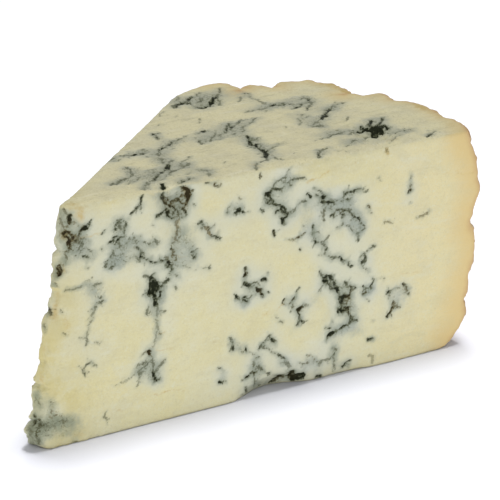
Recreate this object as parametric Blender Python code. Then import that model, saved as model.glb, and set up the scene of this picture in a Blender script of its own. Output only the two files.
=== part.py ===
"""A wedge of blue-veined cheese: an eighth of a drum, cut from its axis out to its rind.

The near cut is upright and faces -Y, with the tip at -X and the rind at +X. Sizes are worked
out with the drum's axis at the origin, where the two cuts meet in the top, and the finished wedge
is then moved so that the middle of its box stands over the origin. A finely divided box is drawn
out into the wedge, and its surface is then given its relief.
"""

import math

import bmesh
import bpy
from mathutils import Vector, noise

# Driving dimensions, in metres and radians
DRUM_RADIUS_BASE = 0.1002
DRUM_RADIUS_TOP = 0.1023
WEDGE_ANGLE = math.radians(45)
HEIGHT = 0.0522

# The far cut leans: at the base the two cuts meet this far beyond where they meet at the top
APEX_OVERSHOOT = 0.0114
# The tip has crumbled to a blunt end, which is this wide at the top and at the base
TIP_WIDTH_TOP = 0.0027
TIP_WIDTH_BASE = 0.0050
TIP_FOOT_LENGTH = 0.0040
TIP_FOOT_HEIGHT = 0.0034

# The rind bulges between its rims, which are rounded off, and its far corner is broken away
RIND_BULGE = 0.0016
TOP_RIM_ROUND = 0.0024
BASE_RIM_LENGTH = 0.0085
BASE_RIM_HEIGHT = 0.0060
FAR_CORNER_ROUND = 0.024
NEAR_CORNER_ROUND = 0.0012
CUT_EDGE_ROUND = 0.0009

# Divisions of the box along the cuts, across them and up them, and how much closer they
# stand at the ends than halfway, as a share of their even spacing
CELLS_ALONG = 40
CELLS_ACROSS = 20
CELLS_UP = 27
CLOSER_ALONG = 0.35
CLOSER_ACROSS = 0.05
CLOSER_UP = 0.12

# Notches in the tip: height above the base, half height, depth (less than 0 stands out)
TIP_NOTCHES = (
    (0.0490, 0.0012, -0.0003),
    (0.0443, 0.0010, -0.0006),
    (0.0415, 0.0011, 0.0010),
    (0.0380, 0.0012, -0.0004),
    (0.0337, 0.0013, 0.0023),
    (0.0290, 0.0016, 0.0005),
    (0.0177, 0.0012, 0.0020),
    (0.0154, 0.0011, -0.0010),
    (0.0087, 0.0012, 0.0021),
    (0.0068, 0.0010, -0.0005),
)

# Chips in the top rim: degrees round the drum, half width in degrees, depth
RIM_CHIPS = (
    (43.3, 1.3, 0.0022),
    (41.3, 2.4, 0.0017),
    (35.6, 2.6, 0.0072),
    (32.4, 1.0, 0.0020),
    (29.9, 1.4, -0.0012),
    (25.8, 1.7, -0.0020),
    (20.9, 1.3, 0.0030),
    (18.6, 0.9, -0.0018),
    (15.0, 0.9, 0.0008),
    (11.4, 2.3, -0.0024),
    (-0.5, 2.0, 0.0013),
)
CHIP_DROP = 0.012
CHIP_FADE = 0.016

# Creases that run round the rind: height above the base, half height, depth
RIND_CREASES = (
    (0.0370, 0.0014, -0.0009),
    (0.0298, 0.0013, 0.0012),
    (0.0200, 0.0013, -0.0004),
    (0.0100, 0.0016, 0.0006),
)
CREASE_WANDER = 0.004
CREASE_WANDER_SPACING = 0.035

# Chips under the foot of the near cut: place along it, half length, height, how far in
FOOT_CHIPS = (
    (0.0502, 0.0092, 0.0042, 0.0042),
    (0.0660, 0.0110, 0.0030, 0.0014),
)
FOOT_CHIP_FADE = 0.012

# Uneven surface: height of the swells, and how far apart they are
RIND_SWELL = 0.0010
RIND_SWELL_SPACING = 0.0095
RIND_CRAG = 0.0004
RIND_CRAG_SPACING = 0.0045
TIP_CRAG = 0.0008
TIP_CRAG_SPACING = 0.0060
TIP_CRAG_REACH = 0.006
CUT_DIP = 0.00035
CUT_DIP_SPACING = 0.021

# Hollows in the near cut: place along it and up it, half length, half height, depth
NEAR_HOLLOWS = (
    (0.0264, 0.0495, 0.0046, 0.0046, 0.0030),
    (0.0266, 0.0440, 0.0028, 0.0046, 0.0009),
    (0.0213, 0.0308, 0.0026, 0.0044, 0.0020),
    (0.0487, 0.0462, 0.0022, 0.0052, 0.0007),
    (0.0668, 0.0190, 0.0026, 0.0060, 0.0007),
)
# Hollows in the top: place along the near cut and away from it, half sizes, depth
TOP_HOLLOWS = (
    (0.0252, 0.0000, 0.0050, 0.0034, 0.0026),
    (0.0808, 0.0098, 0.0048, 0.0050, 0.0036),
    (0.0525, 0.0120, 0.0026, 0.0085, 0.0007),
    (0.0585, 0.0452, 0.0075, 0.0036, 0.0013),
)

# The near cut is chipped to a slope just under the top, between these two places along it
SLOPE_FROM = 0.040
SLOPE_TO = 0.088
SLOPE_HEIGHT = 0.0040
SLOPE_DEPTH = 0.0009

CHEESE_COLOUR = (0.76, 0.69, 0.43, 1.0)
CHEESE_ROUGHNESS = 0.55

TO_FAR = Vector((0, 1, 0))


def clear_scene():
    for old in list(bpy.data.objects):
        bpy.data.objects.remove(old, do_unlink=True)


def cheese_material():
    material = bpy.data.materials.new("blue_veined_cheese")
    material.use_nodes = True
    shader = material.node_tree.nodes["Principled BSDF"]
    shader.inputs["Base Color"].default_value = CHEESE_COLOUR
    shader.inputs["Roughness"].default_value = CHEESE_ROUGHNESS
    shader.inputs["Metallic"].default_value = 0.0
    return material


def divided_box():
    """A unit box from 0 to 1 on each axis, each side a grid of the cells named above."""
    box = bmesh.new()
    bmesh.ops.create_cube(box, size=1.0)
    bmesh.ops.translate(box, verts=box.verts, vec=(0.5, 0.5, 0.5))
    for axis, cells in enumerate((CELLS_ALONG, CELLS_ACROSS, CELLS_UP)):
        along = [e for e in box.edges if abs(e.verts[0].co[axis] - e.verts[1].co[axis]) > 0.5]
        bmesh.ops.subdivide_edges(box, edges=along, cuts=cells - 1, use_grid_fill=True)
    return box


def closer_at_ends(share, closer):
    """An even share from 0 to 1, changed so that equal steps of it come closer at both ends."""
    return share - closer * math.sin(2 * math.pi * share) / (2 * math.pi)


def bell(distance, half_width):
    """1 at no distance, 0.56 at the half width, falling smoothly to 0 at twice the half width."""
    share = min(abs(distance) / (2 * half_width), 1)
    return (1 - share * share) ** 2


def bowl(across, half_across, up, half_up):
    """1 in the middle of an oval, falling to 0 at its rim."""
    share = min(math.hypot(across / half_across, up / half_up), 1)
    return 1 - share * share


def swell(place, spacing, offset=0.0):
    """Smooth uneven height from -1 to 1."""
    return noise.noise(place / spacing + Vector((offset, offset, offset)))


def reach(start, direction, radius):
    """How far it is from start, along direction, to the circle of that radius round the axis."""
    along = start.dot(direction)
    return -along + math.sqrt(along * along - start.length_squared + radius * radius)


def rolled(inset, depth, length, height):
    """Moves a point near a square corner, given by its distances from the two faces, onto a round
    one that takes up this length of one face and this height of the other."""
    if inset >= length or depth >= height:
        return inset, depth
    across = Vector((1 - inset / length, 1 - depth / height))
    if across.length < 1e-6:
        return inset, depth
    across *= max(across.x, across.y) / across.length
    return length * (1 - across.x), height * (1 - across.y)


def rind_radius(z):
    up = min(max(z / HEIGHT, 0), 1)
    even = DRUM_RADIUS_BASE + (DRUM_RADIUS_TOP - DRUM_RADIUS_BASE) * up
    return even + RIND_BULGE * math.sin(math.pi * up) ** 0.7


def corner_pulled_in(point, middle, radius, low, high, sharp_reach):
    """Draws what lies in a sharp plan corner inwards, so that the outline follows an arc."""
    away = point - middle
    if away.length < 1e-9 or not low < math.atan2(away.y, away.x) < high:
        return point
    return middle + away * min(1.0, radius / sharp_reach(away.normalized()))


def rounded_in_plan(point, apex, radius):
    """The point after the two corners between the cuts and the rind have been rounded."""
    far_normal = Vector((-math.sin(WEDGE_ANGLE), math.cos(WEDGE_ANGLE)))
    for normal, turned, size in (
        (far_normal, WEDGE_ANGLE, FAR_CORNER_ROUND),
        (Vector((0, -1)), 0.0, NEAR_CORNER_ROUND),
    ):
        beyond = apex.dot(normal) - size
        aside = math.asin(beyond / (radius - size))
        heading = turned + aside if turned else -aside
        middle = Vector((math.cos(heading), math.sin(heading))) * (radius - size)
        low = heading if turned else -math.pi / 2
        high = turned + math.pi / 2 if turned else heading

        def sharp_reach(direction):
            to_cut = size / max(direction.dot(normal), 1e-6)
            return min(to_cut, reach(middle, direction, radius))

        point = corner_pulled_in(point, middle, size, low, high, sharp_reach)
    return point


def drawn_out(along, across, up):
    """The place in the wedge of a point of the unit box, with its distance in from the rind."""
    along = closer_at_ends(along, CLOSER_ALONG)
    across = closer_at_ends(across, CLOSER_ACROSS)
    up = closer_at_ends(up, CLOSER_UP)
    z = up * HEIGHT
    apex = Vector((-APEX_OVERSHOOT * (1 - up), 0))
    tip_width = TIP_WIDTH_TOP + (TIP_WIDTH_BASE - TIP_WIDTH_TOP) * (1 - up)
    direction = Vector((math.cos(across * WEDGE_ANGLE), math.sin(across * WEDGE_ANGLE)))
    length = reach(apex, direction, rind_radius(z)) - tip_width
    from_rind = (1 - along) * length
    from_tip = along * length

    inset, z = rolled(from_rind, z, BASE_RIM_LENGTH, BASE_RIM_HEIGHT)
    inset, below = rolled(inset, HEIGHT - z, TOP_RIM_ROUND, TOP_RIM_ROUND)
    z = HEIGHT - below
    from_tip_end, z = rolled(from_tip, z, TIP_FOOT_LENGTH, TIP_FOOT_HEIGHT)
    radius = rind_radius(z)
    length = reach(apex, direction, radius) - tip_width
    run = length - inset + from_tip_end - from_tip
    point = rounded_in_plan(apex + direction * (tip_width + run), apex, radius)

    from_near, below = rolled(point.y, HEIGHT - z, CUT_EDGE_ROUND, CUT_EDGE_ROUND)
    return Vector((point.x, from_near, HEIGHT - below)), from_rind, from_tip


def chipped(place, from_rind):
    """The place after the chips in the top rim have drawn it in towards the axis."""
    plan = Vector((place.x, place.y))
    turn = math.degrees(math.atan2(plan.y, plan.x))
    depth = sum(deep * bell(turn - middle, half) for middle, half, deep in RIM_CHIPS)
    share = max(1 - from_rind / CHIP_FADE, 0) * bell(HEIGHT - place.z, CHIP_DROP / 2)
    if plan.length < 1e-6 or share == 0:
        return place
    plan -= plan.normalized() * depth * share
    return Vector((plan.x, plan.y, place.z))


def undercut(place):
    """The place after the chips under the foot of the near cut have drawn it in."""
    fade = max(1 - place.y / FOOT_CHIP_FADE, 0)
    for x, half_length, height, depth in FOOT_CHIPS:
        place = place + TO_FAR * depth * fade * bowl(place.x - x, half_length, place.z, height)
    return place


def rind_relief(place):
    """How far the rind stands out at a place on it."""
    out = RIND_SWELL * swell(place, RIND_SWELL_SPACING)
    out += RIND_CRAG * swell(place, RIND_CRAG_SPACING, 7.3)
    for height, half_height, depth in RIND_CREASES:
        level = Vector((place.x - DRUM_RADIUS_BASE, place.y, height))
        wander = CREASE_WANDER * swell(level, CREASE_WANDER_SPACING)
        out -= depth * bell(place.z - height - wander, half_height)
    return out


def tip_relief(place):
    """How far the blunt tip stands out at a place on it."""
    out = TIP_CRAG * swell(place, TIP_CRAG_SPACING, 1.7)
    for height, half_height, depth in TIP_NOTCHES:
        out -= depth * bell(place.z - height, half_height)
    return out


def cut_relief(place, facing_near, facing_top):
    """How far the cuts and the top stand out; less than 0 is a dip or a hollow."""
    out = -CUT_DIP * (0.5 + 0.5 * swell(place, CUT_DIP_SPACING, 5.9))
    if facing_near:
        for x, z, half_x, half_z, depth in NEAR_HOLLOWS:
            out -= depth * bowl(place.x - x, half_x, place.z - z, half_z)
        if SLOPE_FROM < place.x < SLOPE_TO:
            along = (place.x - SLOPE_FROM) / (SLOPE_TO - SLOPE_FROM)
            share = max(1 - (HEIGHT - place.z) / SLOPE_HEIGHT, 0)
            out -= SLOPE_DEPTH * share * math.sin(math.pi * along)
    if facing_top:
        for x, y, half_x, half_y, depth in TOP_HOLLOWS:
            out -= depth * bowl(place.x - x, half_x, place.y - y, half_y)
    return out


def wedge():
    """The whole wedge as one closed mesh, with its relief."""
    body = divided_box()
    shares = {}
    depths = {}
    for vertex in body.verts:
        shares[vertex.index] = vertex.co.copy()
        place, from_rind, from_tip = drawn_out(*vertex.co)
        depths[vertex.index] = (from_rind, from_tip)
        vertex.co = undercut(chipped(place, from_rind))
    body.normal_update()
    moved = {}
    for vertex in body.verts:
        along, across, up = shares[vertex.index]
        from_rind, from_tip = depths[vertex.index]
        place = vertex.co.copy()
        on_rind = 1.0 if along == 1 else 0.35 * max(1 - from_rind / 0.004, 0)
        on_tip = 1.0 if along == 0 else 0.8 * max(1 - from_tip / TIP_CRAG_REACH, 0)
        out = on_rind * rind_relief(place) + on_tip * tip_relief(place)
        if along < 1:
            out += cut_relief(place, across == 0, up == 1)
        normal = vertex.normal.copy()
        if up == 0:
            normal.z = 0
            out *= 1.0 if normal.length > 0.2 else 0.0
        moved[vertex.index] = place + normal * out
    for vertex in body.verts:
        vertex.co = moved[vertex.index]
        vertex.co.z = min(max(vertex.co.z, 0.0), HEIGHT)
    bmesh.ops.triangulate(body, faces=body.faces)
    bmesh.ops.recalc_face_normals(body, faces=body.faces)
    return body


def centre_over_origin(body):
    """Moves the wedge level, so that the middle of its box stands over the origin."""
    for axis in (0, 1):
        values = [vertex.co[axis] for vertex in body.verts]
        middle = (min(values) + max(values)) / 2
        for vertex in body.verts:
            vertex.co[axis] -= middle


def main():
    clear_scene()
    pieces = bpy.data.collections.new("blue_cheese_wedge")
    bpy.context.scene.collection.children.link(pieces)
    mesh = bpy.data.meshes.new("cheese_wedge")
    body = wedge()
    centre_over_origin(body)
    body.to_mesh(mesh)
    body.free()
    cheese = bpy.data.objects.new("cheese_wedge", mesh)
    pieces.objects.link(cheese)
    mesh.materials.append(cheese_material())


main()
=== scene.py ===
"""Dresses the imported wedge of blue-veined cheese: its marbling, rind, crumbs and plain stage."""

import math
import random
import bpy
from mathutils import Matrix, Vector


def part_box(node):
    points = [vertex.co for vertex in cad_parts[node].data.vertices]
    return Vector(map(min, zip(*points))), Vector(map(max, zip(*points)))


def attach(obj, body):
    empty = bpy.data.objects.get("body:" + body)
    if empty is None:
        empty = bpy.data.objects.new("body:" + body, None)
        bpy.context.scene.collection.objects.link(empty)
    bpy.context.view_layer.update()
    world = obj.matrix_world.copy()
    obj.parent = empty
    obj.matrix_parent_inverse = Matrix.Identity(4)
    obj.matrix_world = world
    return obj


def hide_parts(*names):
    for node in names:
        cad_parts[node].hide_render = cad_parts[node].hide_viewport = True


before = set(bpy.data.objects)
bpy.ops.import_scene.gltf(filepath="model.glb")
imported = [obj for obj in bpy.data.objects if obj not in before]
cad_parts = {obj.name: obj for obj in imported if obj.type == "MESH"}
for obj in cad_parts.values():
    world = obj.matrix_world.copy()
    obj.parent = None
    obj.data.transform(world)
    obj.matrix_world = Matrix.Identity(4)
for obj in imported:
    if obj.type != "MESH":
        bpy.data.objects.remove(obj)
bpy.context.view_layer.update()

from types import SimpleNamespace

import bmesh
import bpy
import numpy as np
from mathutils import Matrix, Vector, noise
from mathutils.kdtree import KDTree

bl_info = {
    "name": "Blue cheese wedge",
    "version": (1, 0, 0),
    "blender": (4, 5, 0),
    "location": "3D View > Sidebar > Cheese",
    "description": "Builds a marbled wedge of cheese on a pale stage",
    "category": "Add Mesh",
}

NODE = "cheese_wedge"
BODY = "root"
NODE_LOW, NODE_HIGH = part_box(NODE)

# Lengths are in metres, except where a comment says mm.
# Where the drum's axis stands in the part, and the shape of the drum round it
AXIS_FROM_LOW = Vector((0.0071910, 0.0004313))
AXIS = Vector((NODE_LOW.x + AXIS_FROM_LOW.x, NODE_LOW.y + AXIS_FROM_LOW.y))
HEIGHT = NODE_HIGH.z
WEDGE_ANGLE = math.radians(45)
MM = 0.001

# The camera, in the part's own frame: where it stands and its three axes
CAMERA_PLACE = Vector((-0.186850, -0.349849, 0.182499))
CAMERA_RIGHT = Vector((0.867033, -0.498250, 0.0))
CAMERA_UP = Vector((0.186648, 0.324796, 0.927184))
CAMERA_BACK = Vector((-0.461969, -0.803899, 0.374607))
# The width of its sensor in mm, and the nearest and the farthest that it sees
SENSOR_WIDTH = 36
CLIP_NEAR, CLIP_FAR = 0.01, 20

# The stage: the lights' places and sizes, and how far the floor lies under the part
KEY_PLACE = Vector((-0.55, -0.75, 0.95))
KEY_SIZE = (0.9, 0.9)
TABLE_LIGHT_PLACE = Vector((0.15, 0.032, 1.0))
TABLE_LIGHT_SIZE = (0.36, 0.25)
FLOOR_DROP = 0.0001
# How rough the floor is, and the colour of the even light
FLOOR_ROUGHNESS = 0.8
WHITE = (1.0, 1.0, 1.0, 1.0)

# Marbling of the near cut, in groups, and painted shade at the rims of its cavity. A stroke is how dark
# it is, its width in mm, and its points:
# along the cut from the drum's axis, then up from the base, in mm
NEAR_VEINS = {
    "tip": (
        (0.5, 0.9, (0.9, 51.4, 0.8, 50.0, 1.0, 48.8)), (0.45, 0.8, (1.8, 51.8, 2.2, 50.8)),
        (1.0, 1.1, (3.0, 50.0, 2.7, 49.0)), (0.5, 0.5, (3.6, 48.9, 4.4, 48.4)),
        (0.45, 0.5, (0.6, 49.0, 1.4, 48.0, 2.6, 48.0)),
        (0.9, 0.7, (1.3, 46.6, 2.0, 47.0, 2.8, 46.6, 3.3, 45.6)),
        (0.85, 0.65, (1.6, 46.0, 2.4, 45.7, 3.0, 45.2)), (0.95, 0.5, (7.5, 48.4, 7.2, 47.8, 6.6, 47.2)),
        (1.0, 0.75, (6.5, 47.1, 5.6, 46.8)), (0.95, 0.5, (5.6, 46.8, 5.1, 46.2, 4.9, 45.3)),
        (1.0, 1.0, (2.6, 44.8, 2.9, 44.0, 2.7, 43.4)), (0.9, 0.45, (3.5, 44.9, 4.0, 44.6)),
        (0.8, 0.5, (4.2, 45.9, 4.6, 45.0)), (0.6, 0.45, (3.2, 43.4, 4.4, 44.6, 5.3, 43.6)),
        (0.6, 0.4, (5.0, 45.4, 5.6, 44.4, 5.4, 42.8)), (0.5, 0.4, (4.3, 43.0, 4.9, 42.0, 4.6, 41.2)),
        (0.5, 0.4, (3.4, 42.6, 3.8, 41.6)), (0.7, 0.4, (1.9, 42.8, 1.7, 41.6, 1.4, 40.4)),
        (0.85, 0.45, (5.8, 40.9, 6.7, 40.5)), (0.5, 0.35, (6.2, 44.8, 7.2, 44.0)),
        (0.5, 0.35, (6.7, 42.2, 7.6, 41.6)), (0.8, 0.4, (9.9, 45.1, 10.4, 45.5)),
        (0.95, 1.3, (0.1, 39.8, 0.3, 39.0, 0.0, 38.4)), (0.5, 0.4, (6.2, 38.3, 6.5, 38.5)),
        (0.6, 0.6, (-0.9, 44.2, -0.6, 43.8)), (0.4, 0.6, (-0.9, 36.8, -0.6, 35.6)),
        (0.7, 0.8, (-2.4, 31.4, -2.0, 30.4)), (0.45, 0.4, (0.2, 30.4, 0.7, 29.9)),
        (0.4, 0.6, (-3.4, 28.2, -3.2, 27.2)),
    ),
    "tip_low": (
        (0.35, 0.4, (5.7, 35.4, 7.2, 36.1)), (0.35, 0.7, (1.2, 34.4, 2.4, 34.7, 3.4, 34.3, 4.8, 34.7)),
        (0.25, 0.4, (4.8, 34.7, 6.0, 35.2, 6.8, 35.0)), (0.45, 0.5, (7.7, 34.2, 8.6, 34.6, 9.3, 34.5)),
        (0.75, 0.55, (9.7, 30.4, 8.2, 30.2, 7.5, 29.0)),
        (0.42, 0.6, (7.5, 29.0, 6.6, 26.5, 6.1, 25.0, 5.6, 23.3)),
        (0.5, 0.5, (5.6, 23.3, 5.8, 22.4, 5.4, 21.5)), (0.7, 0.45, (8.6, 31.5, 9.4, 31.1)),
        (0.5, 0.5, (0.4, 25.3, 1.4, 24.6)), (0.4, 0.5, (5.0, 23.1, 4.0, 23.6)),
        (0.5, 0.45, (7.5, 21.7, 8.4, 21.2)), (0.7, 0.4, (6.4, 17.6, 5.5, 17.4, 4.8, 16.5, 5.0, 14.6)),
        (0.6, 0.4, (6.8, 17.4, 7.5, 16.4)), (0.5, 0.35, (9.6, 5.8, 8.75, 4.9, 9.5, 3.7, 9.6, 2.8)),
    ),
    "foot": (
        (0.75, 0.6, (-6.4, 8.9, -6.3, 7.9, -6.6, 7.1)), (0.8, 0.5, (-6.6, 6.5, -6.2, 6.0, -6.4, 5.2)),
        (0.85, 0.6, (-6.3, 4.6, -6.0, 4.0)), (0.55, 0.5, (-7.6, 6.6, -7.4, 5.4, -7.0, 4.4)),
        (0.6, 0.6, (-6.2, 3.2, -5.6, 2.6)), (0.7, 0.5, (-5.6, 7.4, -5.4, 6.2, -5.6, 4.8)),
        (0.6, 0.4, (-5.2, 6.4, -4.4, 6.0, -3.4, 6.3)), (0.45, 0.4, (-4.6, 5.0, -3.8, 4.6, -3.2, 5.0)),
        (0.55, 0.4, (-3.0, 8.2, -2.4, 7.6, -1.7, 7.4)), (0.5, 0.4, (-2.6, 8.8, -2.8, 8.0)),
        (0.55, 0.45, (-2.9, 11.0, -2.6, 10.2)), (0.45, 0.35, (-2.0, 6.6, -1.0, 6.2, 0.2, 6.3)),
        (0.5, 0.35, (-0.4, 5.4, 0.8, 5.1, 2.0, 5.1)), (0.4, 0.4, (-1.4, 6.4, -1.6, 5.4)),
        (0.4, 0.35, (-4.2, 3.6, -3.4, 3.2)), (0.35, 0.4, (-6.0, 13.0, -6.2, 12.0)),
        (0.35, 0.4, (-5.6, 11.6, -4.8, 10.2)), (0.45, 0.5, (1.6, 0.9, 2.6, 0.8)),
    ),
    "left": (
        (0.8, 0.45, (13.2, 47.2, 14.3, 47.1, 14.9, 46.5, 15.2, 45.6)),
        (0.7, 0.4, (13.7, 46.3, 14.2, 45.5)), (0.75, 0.4, (12.9, 46.8, 12.8, 45.7, 12.2, 45.2)),
        (0.6, 0.4, (14.8, 45.2, 14.6, 44.2, 14.3, 43.4)),
        (0.9, 0.45, (11.2, 42.8, 12.2, 43.0, 13.0, 43.8, 14.0, 43.4)),
        (0.95, 0.5, (14.2, 43.6, 13.4, 43.2, 13.0, 42.4)), (0.6, 0.4, (13.4, 42.6, 13.6, 41.6)),
        (0.5, 0.35, (15.2, 42.3, 16.6, 42.3, 17.8, 41.9, 18.6, 41.6)),
        (0.45, 0.35, (15.0, 41.8, 15.8, 42.8, 17.2, 43.0, 18.2, 42.8)),
        (0.55, 0.35, (18.6, 41.6, 19.6, 41.2, 20.8, 40.7, 21.6, 41.4, 22.4, 40.6)),
        (0.6, 0.5, (21.8, 41.0, 22.4, 40.5)), (0.8, 0.4, (17.4, 40.7, 18.2, 39.9, 18.7, 39.1)),
        (0.7, 0.4, (12.4, 40.9, 11.8, 40.0, 11.4, 39.2, 10.5, 38.1)),
        (0.8, 0.5, (10.4, 38.2, 10.2, 37.7)), (0.8, 0.45, (11.4, 37.3, 12.1, 37.2)),
        (0.45, 0.35, (12.6, 39.8, 13.8, 39.2, 14.6, 38.2)),
        (0.9, 0.45, (18.6, 39.3, 18.4, 38.3, 19.6, 37.6, 20.6, 36.9)),
        (0.9, 0.42, (20.6, 36.9, 21.8, 36.5, 23.0, 36.3, 24.0, 36.1)),
        (0.6, 0.4, (17.5, 37.7, 18.4, 37.8)),
        (0.85, 0.4, (19.0, 51.7, 18.4, 51.0, 18.7, 50.2, 18.6, 49.4)),
        (0.8, 0.4, (18.6, 49.4, 17.8, 48.9, 16.8, 48.3, 16.3, 47.9)),
        (0.5, 0.4, (18.9, 48.7, 18.4, 48.4)), (0.45, 0.4, (21.2, 44.8, 21.6, 44.4)),
        (0.9, 0.5, (22.0, 46.4, 23.0, 46.9, 24.2, 47.2, 24.8, 46.6)), (0.5, 0.5, (9.6, 42.0, 9.9, 41.4)),
    ),
    # The cavity: its strokes are mould, and the darkest at its upper left and right rims are partly
    # painted shade of those rims
    "cavity_and_rim_shade": (
        (0.45, 0.8, (26.5, 44.8, 26.8, 42.8, 26.4, 40.8)), (1.0, 1.0, (23.4, 52.9, 23.8, 52.2)),
        (0.85, 0.8, (23.5, 51.6, 23.3, 50.4, 23.9, 49.3, 24.6, 48.5)),
        (0.9, 0.4, (24.4, 53.0, 25.4, 52.5, 26.4, 52.4)),
        (0.9, 0.35, (26.4, 52.3, 27.4, 51.9, 28.2, 51.6)),
        (1.0, 0.9, (28.3, 51.6, 29.0, 51.1, 29.6, 50.4)), (1.0, 1.5, (29.4, 50.2, 29.3, 49.4)),
        (0.9, 0.8, (29.2, 48.9, 29.0, 48.0)), (0.9, 0.5, (28.0, 50.0, 28.7, 49.2)),
        (0.9, 0.5, (25.6, 49.0, 26.6, 49.3, 27.4, 49.6)),
        (0.85, 0.55, (26.9, 48.9, 27.6, 48.3, 28.5, 47.7)),
        (0.9, 0.6, (24.7, 49.8, 25.2, 48.8, 25.3, 47.8)),
        (0.75, 0.5, (25.6, 48.0, 26.4, 47.2, 25.8, 46.3)),
        (0.85, 0.5, (24.2, 47.4, 24.6, 46.1, 25.4, 45.4, 26.3, 45.0)),
        (0.7, 0.4, (26.9, 46.7, 27.3, 45.8)),
        (0.8, 0.45, (27.4, 47.2, 28.2, 46.7, 28.9, 46.0, 28.6, 45.2)),
        (0.6, 0.45, (26.3, 45.0, 27.4, 44.8, 28.4, 45.2)), (0.6, 0.4, (30.6, 47.4, 30.9, 47.2)),
        (0.45, 0.5, (25.6, 41.0, 26.0, 40.2)), (0.45, 0.4, (27.2, 40.8, 28.2, 41.4)),
        (0.35, 0.4, (25.4, 39.8, 27.0, 40.4)),
    ),
    "middle": (
        (0.75, 0.7, (25.2, 38.8, 25.8, 38.2, 25.2, 37.2)),
        (0.7, 0.5, (25.2, 37.2, 26.2, 37.0, 26.3, 36.0)), (1.0, 0.9, (24.5, 36.0, 25.1, 35.2)),
        (0.85, 0.6, (23.9, 35.3, 24.6, 35.0, 25.4, 35.2)),
        (0.8, 0.5, (25.4, 35.2, 25.4, 34.2, 25.2, 33.4)),
        (0.5, 0.45, (25.3, 33.4, 26.0, 32.6, 27.0, 32.2)), (0.6, 0.4, (23.8, 37.2, 24.4, 36.6)),
        (0.8, 0.45, (30.0, 37.1, 30.9, 36.7, 31.2, 36.0)),
        (0.9, 0.45, (30.3, 36.4, 30.6, 35.5, 31.4, 36.0)), (0.5, 0.4, (29.6, 38.0, 30.4, 38.3)),
        (0.4, 0.4, (27.4, 34.6, 29.5, 33.6)), (0.35, 0.35, (30.6, 32.9, 32.2, 33.2, 33.4, 32.9)),
        (0.85, 0.5, (33.7, 32.8, 34.3, 32.6)), (0.6, 0.35, (25.9, 30.4, 26.3, 29.4)),
        (0.5, 0.4, (25.6, 33.0, 26.6, 32.3)), (0.85, 0.4, (31.6, 43.0, 32.4, 43.2, 33.0, 42.2)),
        (0.8, 0.4, (33.0, 42.2, 33.6, 41.4, 34.0, 40.7)),
        (0.65, 0.4, (35.3, 41.8, 34.6, 41.4, 34.0, 41.3)), (0.6, 0.5, (34.0, 40.7, 34.4, 39.9)),
        (0.95, 0.5, (34.6, 39.6, 35.6, 39.3, 36.6, 38.9)),
    ),
    "pit": (
        (1.0, 1.7, (20.7, 32.5, 20.9, 31.6, 20.4, 30.5)),
        (1.0, 1.3, (21.6, 31.6, 22.0, 30.7, 21.3, 29.9)), (0.9, 0.6, (20.1, 30.3, 19.7, 29.8)),
        (0.9, 0.9, (21.2, 29.4, 21.4, 28.3, 21.3, 27.2)), (0.9, 0.6, (22.6, 29.6, 22.4, 28.6)),
        (0.85, 0.6, (22.6, 30.8, 23.6, 31.2, 24.7, 31.9)),
        (0.7, 0.5, (19.0, 34.2, 20.4, 33.3, 21.4, 34.0)),
        (0.6, 0.6, (19.6, 27.0, 19.2, 26.2, 19.5, 25.4)),
        (0.55, 0.5, (21.7, 26.9, 22.3, 25.6, 23.5, 24.9)),
        (0.18, 0.9, (21.7, 26.0, 21.6, 22.0, 21.6, 19.4)),
        (0.6, 0.45, (21.7, 20.7, 22.3, 20.6, 22.7, 20.1)),
        (0.35, 0.45, (21.3, 19.0, 20.8, 17.8, 20.3, 17.2)), (1.0, 1.1, (19.6, 17.0, 19.9, 16.3)),
        (0.45, 0.4, (18.9, 17.3, 18.3, 16.7, 17.6, 16.2)),
        (0.5, 0.45, (20.0, 16.2, 20.4, 15.2, 20.4, 14.4)),
        (0.6, 0.5, (19.5, 14.5, 18.8, 14.0, 17.9, 13.4, 17.2, 13.0)),
        (0.6, 0.4, (18.0, 12.9, 17.2, 12.4)), (0.5, 0.4, (18.8, 14.7, 17.6, 14.4, 16.6, 13.8)),
        (0.35, 0.35, (17.0, 12.6, 15.4, 11.8, 13.6, 11.2, 11.6, 10.9)),
        (0.45, 0.4, (18.6, 13.2, 17.6, 12.0, 16.8, 10.8)),
        (0.65, 0.45, (20.4, 14.4, 20.7, 13.2, 20.6, 12.2)), (0.95, 0.65, (20.6, 11.8, 20.8, 11.0)),
        (1.0, 0.8, (20.9, 10.6, 21.2, 9.9)), (0.7, 0.5, (21.3, 10.0, 22.0, 9.8)),
        (0.6, 0.5, (23.4, 14.3, 22.6, 13.6, 21.6, 12.6, 21.0, 12.0)),
        (0.35, 0.4, (17.6, 10.5, 16.4, 9.4)),
    ),
    "band": (
        (1.0, 0.9, (66.2, 19.3, 69.0, 18.9)), (1.0, 1.1, (66.2, 16.1, 68.6, 15.7)),
        (0.85, 0.9, (67.2, 18.6, 67.4, 16.4)), (0.5, 0.4, (54.3, 51.8, 52.9, 50.4, 52.4, 49.4)),
        (0.65, 0.45, (52.4, 49.3, 51.0, 49.0, 50.0, 48.6, 49.2, 47.4)),
        (0.65, 0.4, (52.3, 48.0, 53.8, 48.2, 55.4, 48.5, 57.0, 48.5)),
        (0.75, 0.5, (53.3, 47.4, 53.8, 47.3)),
        (0.9, 0.45, (48.9, 47.2, 49.9, 47.3, 50.5, 47.0, 51.4, 46.9)),
        (0.6, 0.35, (51.4, 46.9, 52.0, 47.3)), (1.0, 1.0, (48.0, 46.6, 48.5, 45.8)),
        (0.9, 0.5, (47.5, 46.4, 47.6, 45.4, 48.1, 44.7)),
        (0.9, 0.5, (48.6, 46.8, 48.9, 45.8, 48.7, 45.0)), (0.85, 0.5, (47.6, 44.4, 48.3, 44.2)),
        (1.0, 0.8, (49.1, 44.8, 49.4, 44.1)),
        (1.0, 0.6, (49.4, 44.2, 50.2, 43.6, 51.1, 43.3, 52.1, 42.6)),
        (0.9, 0.42, (50.0, 41.9, 51.1, 42.3, 51.6, 43.0)),
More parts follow.
